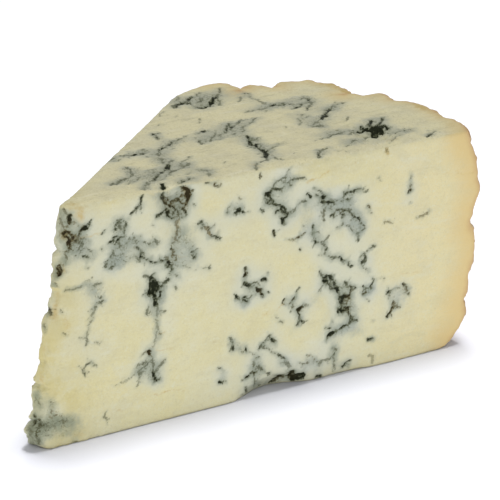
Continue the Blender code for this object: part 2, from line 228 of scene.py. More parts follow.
        (0.9, 0.45, (51.1, 42.3, 51.6, 41.5, 52.4, 41.2)),
        (0.95, 0.5, (52.1, 42.6, 52.5, 41.5, 52.9, 40.8)), (0.9, 0.42, (52.8, 41.1, 54.1, 41.1)),
        (0.55, 0.4, (54.1, 41.1, 54.9, 41.8, 56.0, 42.9, 56.7, 43.3)),
        (0.95, 0.5, (51.6, 40.2, 52.8, 40.4)), (0.95, 0.5, (52.4, 40.4, 51.8, 39.7, 52.1, 38.9)),
        (0.85, 0.6, (46.5, 43.4, 47.0, 42.7)), (0.9, 0.5, (49.6, 37.8, 49.9, 36.7)),
        (0.5, 0.4, (52.7, 35.3, 55.2, 34.8)), (0.8, 0.35, (55.0, 34.9, 56.2, 35.4, 57.4, 35.8)),
        (1.0, 0.5, (56.05, 32.4, 56.15, 32.3)), (0.45, 0.4, (56.8, 37.6, 57.2, 37.4)),
    ),
    "band_left": (
        (1.0, 0.8, (41.1, 44.4, 41.4, 44.1)), (0.9, 0.5, (41.3, 44.1, 40.6, 43.7, 40.1, 43.4)),
        (0.85, 0.35, (41.4, 44.2, 42.0, 43.6, 42.5, 43.0)), (0.85, 0.5, (38.3, 44.1, 38.6, 44.0)),
        (0.4, 0.5, (38.5, 44.4, 38.9, 45.2, 39.4, 45.6)), (0.45, 0.6, (41.2, 46.9, 41.4, 46.5)),
        (0.8, 0.45, (46.2, 51.3, 46.5, 50.4)), (0.85, 0.5, (35.5, 51.1, 36.3, 50.3)),
        (0.7, 0.35, (33.6, 51.6, 34.6, 51.3)), (0.4, 0.3, (36.8, 51.0, 37.2, 50.4)),
    ),
    "clump": (
        (0.85, 0.55, (42.8, 30.8, 42.7, 30.3)), (1.0, 0.8, (42.8, 29.6, 42.5, 29.2)),
        (0.9, 0.38, (42.2, 28.1, 42.6, 27.1, 43.5, 26.5)),
        (0.85, 0.35, (42.7, 28.1, 43.2, 27.2, 43.7, 26.8)), (0.75, 0.35, (43.4, 26.5, 43.8, 26.0)),
        (0.85, 0.38, (44.0, 26.6, 44.8, 26.9, 45.7, 26.9)), (0.7, 0.35, (44.4, 25.9, 45.3, 25.8)),
        (1.0, 1.0, (45.6, 25.1, 46.6, 25.0)), (0.9, 0.4, (45.2, 25.7, 45.7, 25.4)),
        (1.0, 0.7, (46.4, 24.0, 46.9, 23.5)), (0.95, 0.75, (47.0, 27.4, 47.7, 27.1)),
        (0.7, 0.35, (48.1, 28.7, 48.3, 28.5)), (0.8, 0.4, (48.1, 24.2, 48.4, 24.0)),
        (0.95, 0.5, (40.1, 25.3, 40.5, 24.7, 41.0, 24.2)), (0.6, 0.4, (41.0, 24.2, 41.8, 23.8)),
        (0.9, 0.5, (42.2, 24.0, 42.8, 24.1)), (1.0, 0.7, (42.4, 23.5, 43.2, 23.0)),
        (0.75, 0.35, (43.4, 23.8, 44.3, 24.1)),
    ),
    "foot_middle": (
        (0.75, 0.4, (38.9, 15.7, 39.2, 14.7)), (0.95, 0.45, (39.4, 14.4, 39.5, 13.4, 39.5, 12.5)),
        (0.85, 0.5, (42.7, 12.5, 42.9, 11.4)), (0.4, 0.5, (41.0, 12.6, 41.4, 11.6)),
        (0.4, 0.4, (43.2, 11.3, 44.3, 10.7, 45.0, 10.2)), (0.8, 0.4, (45.0, 9.3, 46.0, 9.3)),
        (0.6, 0.5, (44.7, 8.7, 44.8, 7.3, 45.0, 6.2)),
        (1.0, 0.6, (42.8, 5.3, 43.7, 5.7, 44.3, 6.1, 45.0, 5.9)), (0.7, 0.4, (42.8, 5.3, 41.7, 4.7)),
        (0.7, 0.4, (44.8, 5.3, 44.9, 3.4, 44.8, 2.3)), (0.8, 0.5, (42.8, 2.7, 43.0, 1.5)),
        (0.6, 0.5, (42.0, 0.8, 43.2, 1.3, 44.6, 2.1)),
        (0.75, 0.45, (46.0, 7.2, 47.0, 6.2, 47.7, 5.4, 48.7, 5.0)), (0.6, 0.4, (45.2, 7.0, 46.2, 6.4)),
        (0.85, 0.5, (45.9, 2.7, 47.6, 2.5)),
        (0.75, 0.6, (46.0, 11.5, 47.0, 12.4, 48.2, 13.3, 48.7, 14.0)),
        (0.65, 0.5, (46.4, 12.3, 47.4, 11.7)), (0.9, 0.45, (48.8, 13.6, 49.2, 12.7, 50.3, 12.0)),
        (0.65, 0.42, (46.2, 11.9, 48.3, 10.7, 50.0, 9.5, 51.0, 8.7)),
        (0.8, 0.45, (51.0, 8.7, 52.3, 7.7, 52.7, 7.2)), (0.55, 0.6, (52.7, 7.0, 53.7, 5.7, 54.2, 5.3)),
        (0.5, 0.5, (51.2, 7.0, 52.6, 6.2, 53.8, 5.2)),
        (0.9, 0.8, (48.8, 2.9, 50.6, 3.6, 52.0, 3.3, 53.4, 3.3)), (1.0, 1.5, (54.4, 2.7, 57.0, 2.4)),
        (1.0, 0.8, (53.4, 3.3, 55.0, 3.6)), (1.0, 0.75, (36.4, 5.6, 36.8, 5.5)),
        (0.7, 0.4, (37.5, 5.7, 37.9, 5.4)), (0.75, 0.5, (36.0, 9.1, 36.6, 8.8)),
        (0.6, 0.4, (37.0, 8.4, 37.4, 8.0)), (0.6, 0.5, (51.0, 16.8, 51.8, 16.5)),
        (0.4, 0.4, (50.3, 18.3, 50.4, 17.7)),
    ),
    "hook": (
        (0.95, 0.45, (52.3, 21.8, 52.0, 20.6)), (0.7, 0.35, (56.2, 23.6, 55.3, 22.6, 55.0, 21.7)),
        (0.85, 0.6, (54.9, 21.5, 54.4, 21.1)), (0.65, 0.4, (54.3, 20.9, 53.3, 20.3)),
        (0.75, 0.35, (54.1, 20.4, 54.5, 19.2)), (0.95, 0.7, (57.0, 19.0, 56.1, 18.7, 55.5, 18.2)),
        (0.9, 0.45, (55.6, 18.1, 56.2, 16.8, 56.0, 15.7, 55.7, 15.0)),
        (0.9, 0.42, (56.2, 16.3, 57.0, 15.2)), (0.4, 0.6, (57.4, 19.4, 58.2, 18.8)),
    ),
    "right": (
        (0.8, 0.35, (56.0, 43.2, 57.0, 43.2, 57.6, 42.8)), (0.95, 0.5, (57.7, 44.8, 58.5, 43.9)),
        (0.7, 0.4, (59.2, 45.5, 60.5, 45.1, 61.4, 44.2, 62.2, 43.4)),
        (0.8, 0.45, (59.9, 43.9, 60.8, 43.6, 61.7, 43.3)), (1.0, 0.6, (61.5, 43.4, 62.4, 43.1)),
        (1.0, 0.4, (61.4, 42.2, 62.2, 42.2, 63.0, 41.9)),
        (0.95, 0.4, (63.1, 41.6, 63.5, 41.7, 63.9, 41.2)), (0.9, 0.35, (64.0, 41.5, 64.6, 41.1)),
        (0.8, 0.4, (62.0, 42.2, 62.1, 41.0, 62.3, 40.0)),
        (0.65, 0.5, (62.1, 40.0, 61.9, 39.2, 61.6, 38.4, 62.1, 37.8)),
        (0.8, 0.5, (63.8, 38.6, 64.5, 39.1, 64.5, 38.1)),
        (0.45, 0.5, (62.8, 40.8, 63.8, 40.2, 64.2, 39.2)),
        (0.75, 0.5, (65.2, 39.7, 66.7, 39.2, 67.6, 39.2)), (0.9, 0.6, (66.3, 38.4, 66.9, 38.1)),
        (0.7, 0.45, (67.6, 39.2, 68.8, 38.4, 69.4, 37.6)),
        (0.9, 0.5, (69.4, 37.6, 70.1, 36.9, 70.8, 36.5, 71.3, 35.6)),
        (0.6, 0.5, (71.3, 35.6, 72.3, 34.5, 72.6, 33.9, 71.4, 33.5)),
        (0.65, 0.5, (71.4, 33.5, 70.4, 33.2)), (0.7, 0.4, (70.8, 33.5, 70.8, 31.6)),
        (0.5, 0.4, (66.9, 36.6, 67.6, 35.6, 68.8, 35.0)),
        (0.5, 0.4, (68.8, 35.0, 69.6, 33.7, 70.4, 33.3)),
        (0.6, 0.45, (65.2, 35.6, 66.1, 35.4, 67.0, 36.1)),
        (0.95, 0.5, (67.1, 43.4, 67.4, 42.6, 67.9, 43.1, 69.1, 43.1)),
        (0.85, 0.4, (69.1, 43.1, 70.2, 43.2, 71.1, 43.3)),
        (0.65, 0.45, (71.1, 43.3, 72.3, 42.5, 73.0, 42.6)),
        (0.85, 0.35, (67.9, 41.6, 68.3, 41.1, 68.9, 41.6)),
        (0.45, 0.5, (65.0, 41.9, 66.4, 41.4, 67.4, 41.8)),
        (0.95, 0.5, (59.2, 37.3, 59.5, 36.3, 59.4, 35.1)),
        (0.85, 0.5, (59.4, 35.1, 59.8, 33.8, 60.1, 33.1)),
        (0.75, 0.4, (60.1, 33.2, 61.4, 33.1, 62.1, 32.3)),
        (0.9, 0.5, (62.1, 32.3, 62.7, 31.3, 62.6, 30.9)),
        (0.55, 0.4, (63.3, 34.1, 62.6, 33.2, 61.7, 32.9)), (0.65, 0.6, (73.0, 39.1, 73.5, 38.4)),
        (0.45, 0.6, (73.5, 38.4, 74.1, 37.2)),
    ),
    "arc": (
        (0.5, 0.35, (60.8, 30.0, 62.1, 30.1, 63.2, 29.4)),
        (0.75, 0.35, (63.2, 29.4, 63.9, 28.9, 64.6, 28.6)), (0.6, 0.4, (64.6, 28.6, 66.0, 28.5)),
        (0.95, 0.45, (66.3, 28.5, 66.7, 27.5, 67.3, 27.3)),
        (0.85, 0.4, (67.3, 27.3, 68.2, 27.2, 68.8, 26.3)),
        (0.85, 0.42, (68.8, 26.3, 69.1, 25.7, 69.6, 25.9)), (0.8, 0.38, (75.4, 29.5, 74.4, 29.2)),
        (0.6, 0.38, (74.4, 29.2, 73.2, 28.5, 72.0, 27.8, 71.6, 27.5)),
        (0.85, 0.5, (72.7, 27.5, 72.6, 26.6, 72.0, 25.7)), (0.6, 0.4, (71.4, 26.7, 72.3, 26.3)),
        (0.55, 0.35, (72.0, 25.7, 72.3, 25.0, 73.5, 24.0, 73.7, 23.5)),
    ),
    "diagonal": (
        (0.9, 0.55, (61.2, 26.5, 61.5, 25.3, 62.1, 24.4)), (1.0, 0.9, (62.1, 23.8, 62.9, 23.7)),
        (1.0, 0.9, (62.8, 24.8, 63.7, 24.3)), (0.9, 0.55, (63.2, 23.3, 64.0, 22.0, 65.0, 21.0)),
        (0.95, 0.5, (63.8, 24.2, 64.8, 23.0, 65.5, 21.8)), (0.6, 0.4, (63.4, 23.4, 64.2, 22.8)),
        (1.0, 0.8, (65.4, 21.5, 66.0, 20.6)), (0.5, 0.5, (61.8, 23.0, 61.0, 21.7)),
        (0.8, 0.7, (67.6, 22.4, 68.1, 22.0)), (0.45, 0.5, (66.8, 21.4, 68.6, 21.2)),
        (0.85, 0.45, (69.0, 20.9, 70.0, 20.8, 70.4, 20.4)),
        (0.75, 0.5, (69.2, 20.7, 69.0, 19.4, 69.3, 18.4)),
        (0.8, 0.5, (66.1, 20.2, 66.3, 18.7, 66.7, 17.7)),
        (0.85, 0.45, (66.7, 17.7, 67.0, 16.7, 66.8, 15.2)),
        (0.95, 0.45, (67.0, 18.6, 68.2, 18.5, 69.1, 18.4)),
        (0.75, 0.4, (66.6, 17.9, 67.2, 17.8, 68.2, 17.6)), (0.7, 0.4, (67.2, 17.2, 68.7, 17.0)),
        (0.6, 0.5, (66.4, 19.4, 67.6, 19.4)), (1.0, 0.9, (67.3, 16.2, 68.8, 16.2)),
        (0.9, 0.5, (68.7, 15.9, 68.6, 15.0, 68.8, 14.0)),
        (0.9, 0.9, (69.3, 13.7, 69.7, 13.2, 69.3, 12.6)), (0.9, 0.5, (69.9, 12.9, 71.0, 12.5)),
        (0.9, 0.55, (68.8, 12.3, 67.3, 11.7, 66.0, 11.2, 65.0, 10.8)),
        (1.0, 0.75, (64.9, 10.7, 63.6, 10.4)), (0.6, 0.5, (63.3, 10.2, 63.2, 9.1)),
        (0.85, 0.5, (62.8, 12.5, 64.0, 12.3)), (0.7, 0.4, (64.4, 13.9, 64.6, 13.5)),
        (0.65, 0.55, (64.8, 7.3, 65.6, 6.7, 65.3, 6.0, 64.8, 5.3)),
        (0.55, 0.5, (64.9, 5.2, 65.2, 3.4, 65.5, 2.3)), (0.55, 0.5, (60.3, 5.0, 61.3, 4.7, 64.3, 4.9)),
        (0.5, 0.35, (58.0, 7.0, 59.0, 6.7, 59.7, 6.0, 60.2, 5.0)), (0.6, 0.4, (61.0, 4.2, 61.2, 3.7)),
        (0.6, 0.5, (56.4, 5.6, 57.8, 5.0, 58.8, 5.2)), (0.85, 0.7, (60.6, 1.6, 61.6, 1.5)),
        (0.95, 0.7, (67.4, 2.3, 68.3, 2.6)), (0.8, 0.5, (68.3, 2.7, 69.5, 3.0)),
        (0.75, 0.9, (74.1, 7.0, 75.3, 7.1)), (0.25, 1.0, (74.4, 3.2, 75.6, 2.6, 75.2, 1.4)),
    ),
    "rightmost": (
        (0.8, 0.4, (72.3, 20.3, 72.7, 19.7, 73.7, 19.7)), (0.6, 0.4, (73.7, 19.7, 74.8, 19.3)),
        (0.95, 0.6, (72.4, 18.5, 73.3, 18.6)), (0.6, 0.4, (72.7, 19.7, 72.4, 18.8)),
        (0.85, 0.35, (74.7, 21.7, 75.1, 21.3, 74.8, 20.8, 74.3, 19.7)),
        (0.4, 0.3, (75.2, 21.3, 76.7, 21.6, 78.0, 21.2)), (0.4, 0.4, (73.3, 17.2, 74.0, 16.4)),
        (0.75, 0.6, (78.7, 17.2, 79.4, 17.7)), (0.5, 0.5, (79.4, 17.8, 80.4, 18.0, 82.0, 18.0)),
        (0.8, 0.6, (83.2, 18.7, 84.0, 18.0, 84.2, 17.2)),
        (0.7, 0.5, (84.2, 17.2, 84.0, 16.6, 84.8, 15.6)), (0.85, 0.6, (80.5, 15.0, 80.7, 13.7)),
        (0.95, 0.7, (80.5, 13.6, 79.8, 12.4, 78.9, 11.6)), (0.65, 0.4, (80.7, 13.7, 82.3, 13.3)),
        (0.5, 0.5, (79.2, 17.0, 79.6, 16.2)), (0.45, 0.4, (75.0, 11.6, 75.3, 11.4)),
        (1.0, 0.8, (83.8, 40.2, 84.3, 40.5)), (0.6, 0.45, (84.1, 41.4, 84.3, 42.0)),
        (0.45, 0.6, (84.1, 43.2, 84.3, 43.8)), (0.65, 0.45, (84.3, 37.6, 84.5, 37.4)),
        (0.5, 0.7, (86.2, 33.9, 87.8, 33.9, 89.0, 34.2)), (0.45, 0.5, (89.4, 34.6, 89.8, 34.9)),
        (0.45, 0.6, (77.4, 34.4, 78.8, 34.4)), (0.35, 0.4, (79.0, 33.9, 79.8, 33.7)),
        (0.6, 0.4, (75.6, 45.1, 76.0, 45.2)),
    ),
    "edge": (
        (0.8, 0.4, (60.4, 53.4, 61.0, 52.4, 62.6, 51.7)), (0.4, 0.5, (67.75, 52.2, 69.7, 51.7)),
        (0.4, 0.5, (79.7, 53.3, 77.2, 52.6, 77.75, 50.25)), (0.8, 0.5, (87.9, 52.5, 89.7, 52.7)),
    ),
}

# Marbling of the top: along the near cut from the drum's axis, then away from it, in mm
TOP_VEINS = {
    "corner": (
        (1.0, 1.0, (23.2, -0.6, 23.9, 0.9, 24.4, 2.2)), (0.6, 0.6, (20.0, 1.0, 20.6, 2.4, 21.2, 3.6)),
        (0.8, 0.6, (24.2, 5.2, 25.5, 6.6, 27.2, 8.1, 29.3, 10.0)),
        (1.0, 1.2, (29.6, 10.2, 30.8, 11.4, 31.4, 12.4)),
        (0.7, 0.6, (31.4, 12.4, 32.4, 13.4, 33.3, 14.4)),
        (0.6, 0.9, (15.8, 7.5, 18.0, 8.0, 20.0, 9.0, 21.6, 10.0)), (0.8, 0.5, (16.0, 7.4, 17.0, 7.8)),
        (0.6, 0.6, (22.0, 11.4, 23.0, 13.4, 22.6, 15.0)), (0.5, 0.6, (21.6, 10.0, 22.6, 12.2)),
        (0.5, 0.6, (26.0, 5.0, 28.0, 6.5, 30.4, 7.6)),
        (0.5, 0.8, (29.0, 7.4, 31.6, 8.4, 33.6, 9.6, 35.2, 10.6)),
        (0.5, 0.8, (35.0, 6.5, 36.5, 5.0, 36.0, 2.8, 35.2, 1.5)),
        (0.8, 0.6, (27.5, 0.4, 29.0, 1.6, 31.5, 2.2)), (0.7, 0.5, (36.7, 13.4, 37.4, 13.9)),
        (0.45, 0.7, (30.6, 13.2, 31.4, 15.6, 31.8, 18.0, 33.0, 19.6)),
        (0.5, 0.6, (33.2, 10.8, 34.6, 12.4, 36.0, 12.6)), (0.6, 0.5, (21.6, 3.8, 23.2, 4.8, 24.6, 5.6)),
        (0.5, 0.5, (26.4, 8.8, 25.6, 10.4)), (0.4, 0.6, (18.6, 5.6, 20.6, 6.6, 22.4, 8.2)),
        (0.5, 0.6, (31.8, 5.2, 33.4, 6.2)),
    ),
    "tip_side": (
        (0.8, 0.6, (21.4, 20.3, 22.4, 20.9, 23.0, 21.6)), (0.5, 0.5, (21.8, 19.2, 23.4, 19.4)),
        (0.7, 0.6, (25.0, 21.9, 26.6, 22.0, 28.2, 21.6, 30.5, 21.3)),
        (1.0, 0.9, (27.4, 21.9, 28.2, 21.5)), (1.0, 0.7, (29.2, 21.6, 29.8, 21.2)),
        (0.6, 0.5, (25.0, 20.6, 26.0, 20.2)), (0.5, 0.5, (29.5, 18.8, 30.0, 18.2)),
        (0.6, 0.6, (32.2, 19.7, 33.8, 21.5, 35.2, 22.4, 37.0, 23.4)),
        (0.9, 0.8, (34.0, 21.6, 35.4, 22.5)),
        (0.8, 0.7, (37.0, 23.2, 38.4, 24.6, 40.0, 25.6, 41.2, 25.9)),
        (0.5, 0.6, (41.2, 25.9, 43.2, 26.4)), (0.5, 0.5, (36.4, 20.6, 37.2, 21.2)),
        (0.8, 0.9, (37.0, 30.4, 37.6, 31.2)), (0.6, 0.7, (37.4, 31.2, 38.4, 31.6, 39.6, 31.9)),
        (0.45, 0.8, (37.4, 30.4, 37.0, 29.0, 36.8, 27.6)), (0.5, 0.5, (30.0, 22.6, 31.6, 22.8)),
        (0.4, 0.5, (41.0, 36.0, 42.2, 37.0)),
    ),
    "middle": (
        (0.6, 0.7, (43.7, 20.3, 43.9, 22.0, 44.4, 22.8)), (0.5, 0.6, (44.6, 21.0, 45.4, 21.8)),
        (0.6, 0.6, (46.0, 20.7, 47.5, 22.7, 49.0, 24.6, 49.6, 25.4)),
        (0.5, 0.5, (48.2, 21.0, 49.2, 22.4, 50.2, 23.8)), (0.9, 0.9, (47.6, 27.4, 48.5, 28.2)),
        (0.5, 0.6, (45.2, 26.6, 47.0, 27.2)), (0.6, 0.6, (49.8, 23.6, 51.2, 24.4, 52.4, 25.4)),
        (0.8, 0.7, (52.2, 25.2, 53.4, 26.8, 54.6, 28.6, 55.6, 29.6)),
        (1.0, 0.9, (54.6, 27.4, 55.4, 28.8)), (0.6, 0.6, (54.0, 26.0, 57.0, 28.8, 59.5, 31.0)),
        (0.6, 0.6, (52.2, 22.4, 53.4, 23.4)), (0.5, 0.6, (55.2, 23.0, 56.2, 24.4, 57.2, 25.8)),
        (0.6, 0.5, (56.5, 25.6, 59.0, 27.0, 61.0, 28.6, 64.0, 30.4)),
        (0.9, 0.8, (55.0, 20.4, 54.0, 18.4, 53.2, 16.8)),
        (1.0, 1.0, (53.4, 17.0, 52.6, 15.2, 52.8, 13.5)), (0.9, 0.7, (52.8, 13.5, 52.9, 11.0)),
        (1.0, 0.9, (52.9, 11.0, 52.2, 8.0, 51.4, 6.3)), (0.8, 0.6, (51.4, 6.3, 50.8, 5.0)),
        (0.7, 0.5, (50.8, 5.0, 49.2, 4.4, 47.6, 3.6)), (0.6, 0.6, (47.6, 3.6, 46.2, 2.0, 45.3, 0.2)),
        (0.7, 0.5, (52.4, 4.8, 52.6, 3.6, 53.4, 2.6)),
        (0.6, 0.5, (53.4, 9.4, 55.0, 10.6, 57.0, 11.7, 59.0, 12.4)), (0.5, 0.5, (53.0, 12.2, 54.6, 12.8)),
        (0.6, 0.5, (53.8, 17.4, 55.4, 17.2, 56.6, 18.2)), (0.5, 0.5, (52.4, 15.0, 51.4, 14.2)),
        (0.5, 0.5, (51.6, 8.4, 50.6, 8.8)), (0.7, 0.6, (60.6, 0.0, 61.4, 1.8, 63.0, 3.6, 65.8, 5.2)),
        (1.0, 0.6, (60.6, 0.0, 61.0, 0.6)), (0.9, 0.6, (61.8, 2.2, 62.6, 3.2)),
        (0.45, 0.6, (69.8, 3.9, 71.6, 4.7, 73.6, 5.4)), (0.4, 0.5, (66.4, 2.2, 68.0, 0.4)),
        (0.45, 0.5, (41.6, 7.2, 42.2, 7.6)), (0.4, 0.5, (57.4, 5.0, 58.2, 5.4)),
    ),
    "far": (
        (0.8, 1.6, (50.6, 46.6, 52.4, 47.4)), (1.0, 0.9, (52.2, 47.2, 53.6, 48.2)),
        (0.8, 1.3, (53.6, 48.2, 55.2, 48.8, 56.2, 50.0, 57.6, 51.0)),
        (1.0, 0.8, (54.6, 48.4, 55.6, 49.2)), (0.8, 0.8, (54.4, 46.8, 55.2, 45.0, 56.0, 43.2)),
        (1.0, 1.5, (56.0, 42.9, 57.4, 42.9)), (1.0, 1.1, (57.4, 43.0, 58.8, 44.2, 59.8, 45.2)),
        (0.8, 0.9, (59.8, 45.2, 61.0, 47.0, 62.6, 48.6)),
        (0.6, 0.8, (60.4, 42.6, 61.4, 44.4, 62.0, 46.0)),
        (0.6, 0.8, (62.6, 48.6, 65.0, 51.0, 66.6, 53.8)),
        (0.5, 0.9, (57.0, 46.4, 58.4, 48.0, 59.6, 50.2)), (0.5, 0.8, (59.0, 51.6, 61.0, 53.0)),
        (0.5, 0.8, (53.0, 50.4, 54.6, 52.0)), (0.5, 0.8, (65.4, 42.4, 66.6, 44.2, 68.0, 45.8)),
        (0.9, 0.9, (69.7, 47.7, 70.3, 46.9)),
        (0.45, 0.8, (69.6, 45.5, 69.2, 43.0, 69.8, 40.0, 69.6, 37.5)),
        (0.5, 0.6, (50.0, 33.6, 51.8, 35.8)), (0.5, 0.6, (44.8, 42.4, 46.4, 44.0)),
        (0.35, 0.6, (47.6, 40.0, 48.6, 41.2)),
    ),
    "back": (
        (0.6, 0.7, (62.5, 34.6, 65.0, 35.0, 68.0, 35.2, 70.0, 35.6)),
        (1.0, 1.0, (70.0, 35.8, 71.2, 36.6)), (0.8, 0.7, (71.2, 36.6, 73.0, 36.0, 74.6, 35.4)),
        (0.8, 0.7, (73.4, 31.9, 75.4, 32.9, 77.0, 33.8)),
        (0.6, 0.7, (75.6, 29.6, 77.5, 31.5, 79.5, 34.0, 80.2, 36.6)),
        (0.8, 0.8, (79.4, 35.2, 80.2, 36.4)), (0.5, 0.6, (78.8, 37.2, 80.4, 38.5)),
        (0.5, 0.6, (82.0, 28.0, 83.2, 29.4, 84.4, 31.2)),
        (0.7, 0.7, (85.8, 29.6, 83.0, 29.6, 81.0, 28.2)),
        (0.85, 0.9, (81.0, 28.2, 79.6, 27.0, 78.0, 25.4, 76.8, 24.2)),
        (1.0, 1.1, (77.0, 23.6, 76.0, 22.7, 75.0, 22.4)), (0.5, 0.7, (72.0, 26.0, 73.2, 27.4)),
        (0.5, 0.7, (72.0, 24.4, 73.6, 25.0)), (0.5, 0.7, (74.6, 22.2, 72.8, 21.0, 71.0, 19.8)),
        (0.7, 0.7, (70.5, 19.0, 71.8, 18.6, 72.6, 17.6)),
        (0.45, 0.6, (68.6, 21.0, 69.8, 22.6, 70.4, 24.6)), (0.4, 0.6, (66.2, 33.0, 68.4, 33.6)),
        (0.5, 0.6, (79.0, 18.5, 80.6, 20.0)), (0.4, 0.5, (64.6, 20.6, 65.4, 21.6)),
    ),
    "hole": (
        (1.0, 2.6, (79.8, 10.5, 82.0, 10.9)), (1.0, 1.6, (77.4, 10.2, 79.4, 10.6)),
        (1.0, 1.6, (83.0, 11.0, 84.0, 10.2)), (1.0, 1.6, (80.6, 9.6, 79.6, 7.8, 78.2, 5.6)),
        (1.0, 1.2, (82.0, 9.4, 81.2, 7.6, 80.6, 6.6)), (0.9, 0.7, (83.0, 8.6, 84.4, 9.4)),
        (1.0, 0.9, (79.4, 12.2, 80.2, 13.6)), (0.9, 0.9, (81.6, 12.6, 83.4, 15.2, 84.4, 16.4)),
        (0.9, 0.8, (83.4, 12.2, 85.4, 14.0, 87.4, 16.2)),
        (0.8, 0.6, (69.2, 10.3, 71.0, 11.4, 73.5, 11.9, 77.0, 11.6)),
        (0.5, 0.5, (65.4, 9.6, 67.0, 10.2, 68.4, 10.8)), (0.6, 0.6, (74.0, 9.4, 76.0, 10.4)),
        (0.5, 0.6, (71.0, 13.0, 74.0, 13.8)), (0.8, 0.6, (83.8, 6.3, 86.5, 6.0, 88.8, 6.8)),
        (0.6, 0.6, (81.2, 6.8, 82.6, 6.4)), (0.5, 0.5, (79.0, 1.0, 81.5, 2.8, 84.0, 4.4)),
        (0.9, 0.7, (88.4, 0.7, 90.0, 1.5, 91.8, 2.4)), (0.5, 0.5, (75.6, 5.6, 77.0, 6.2)),
    ),
}

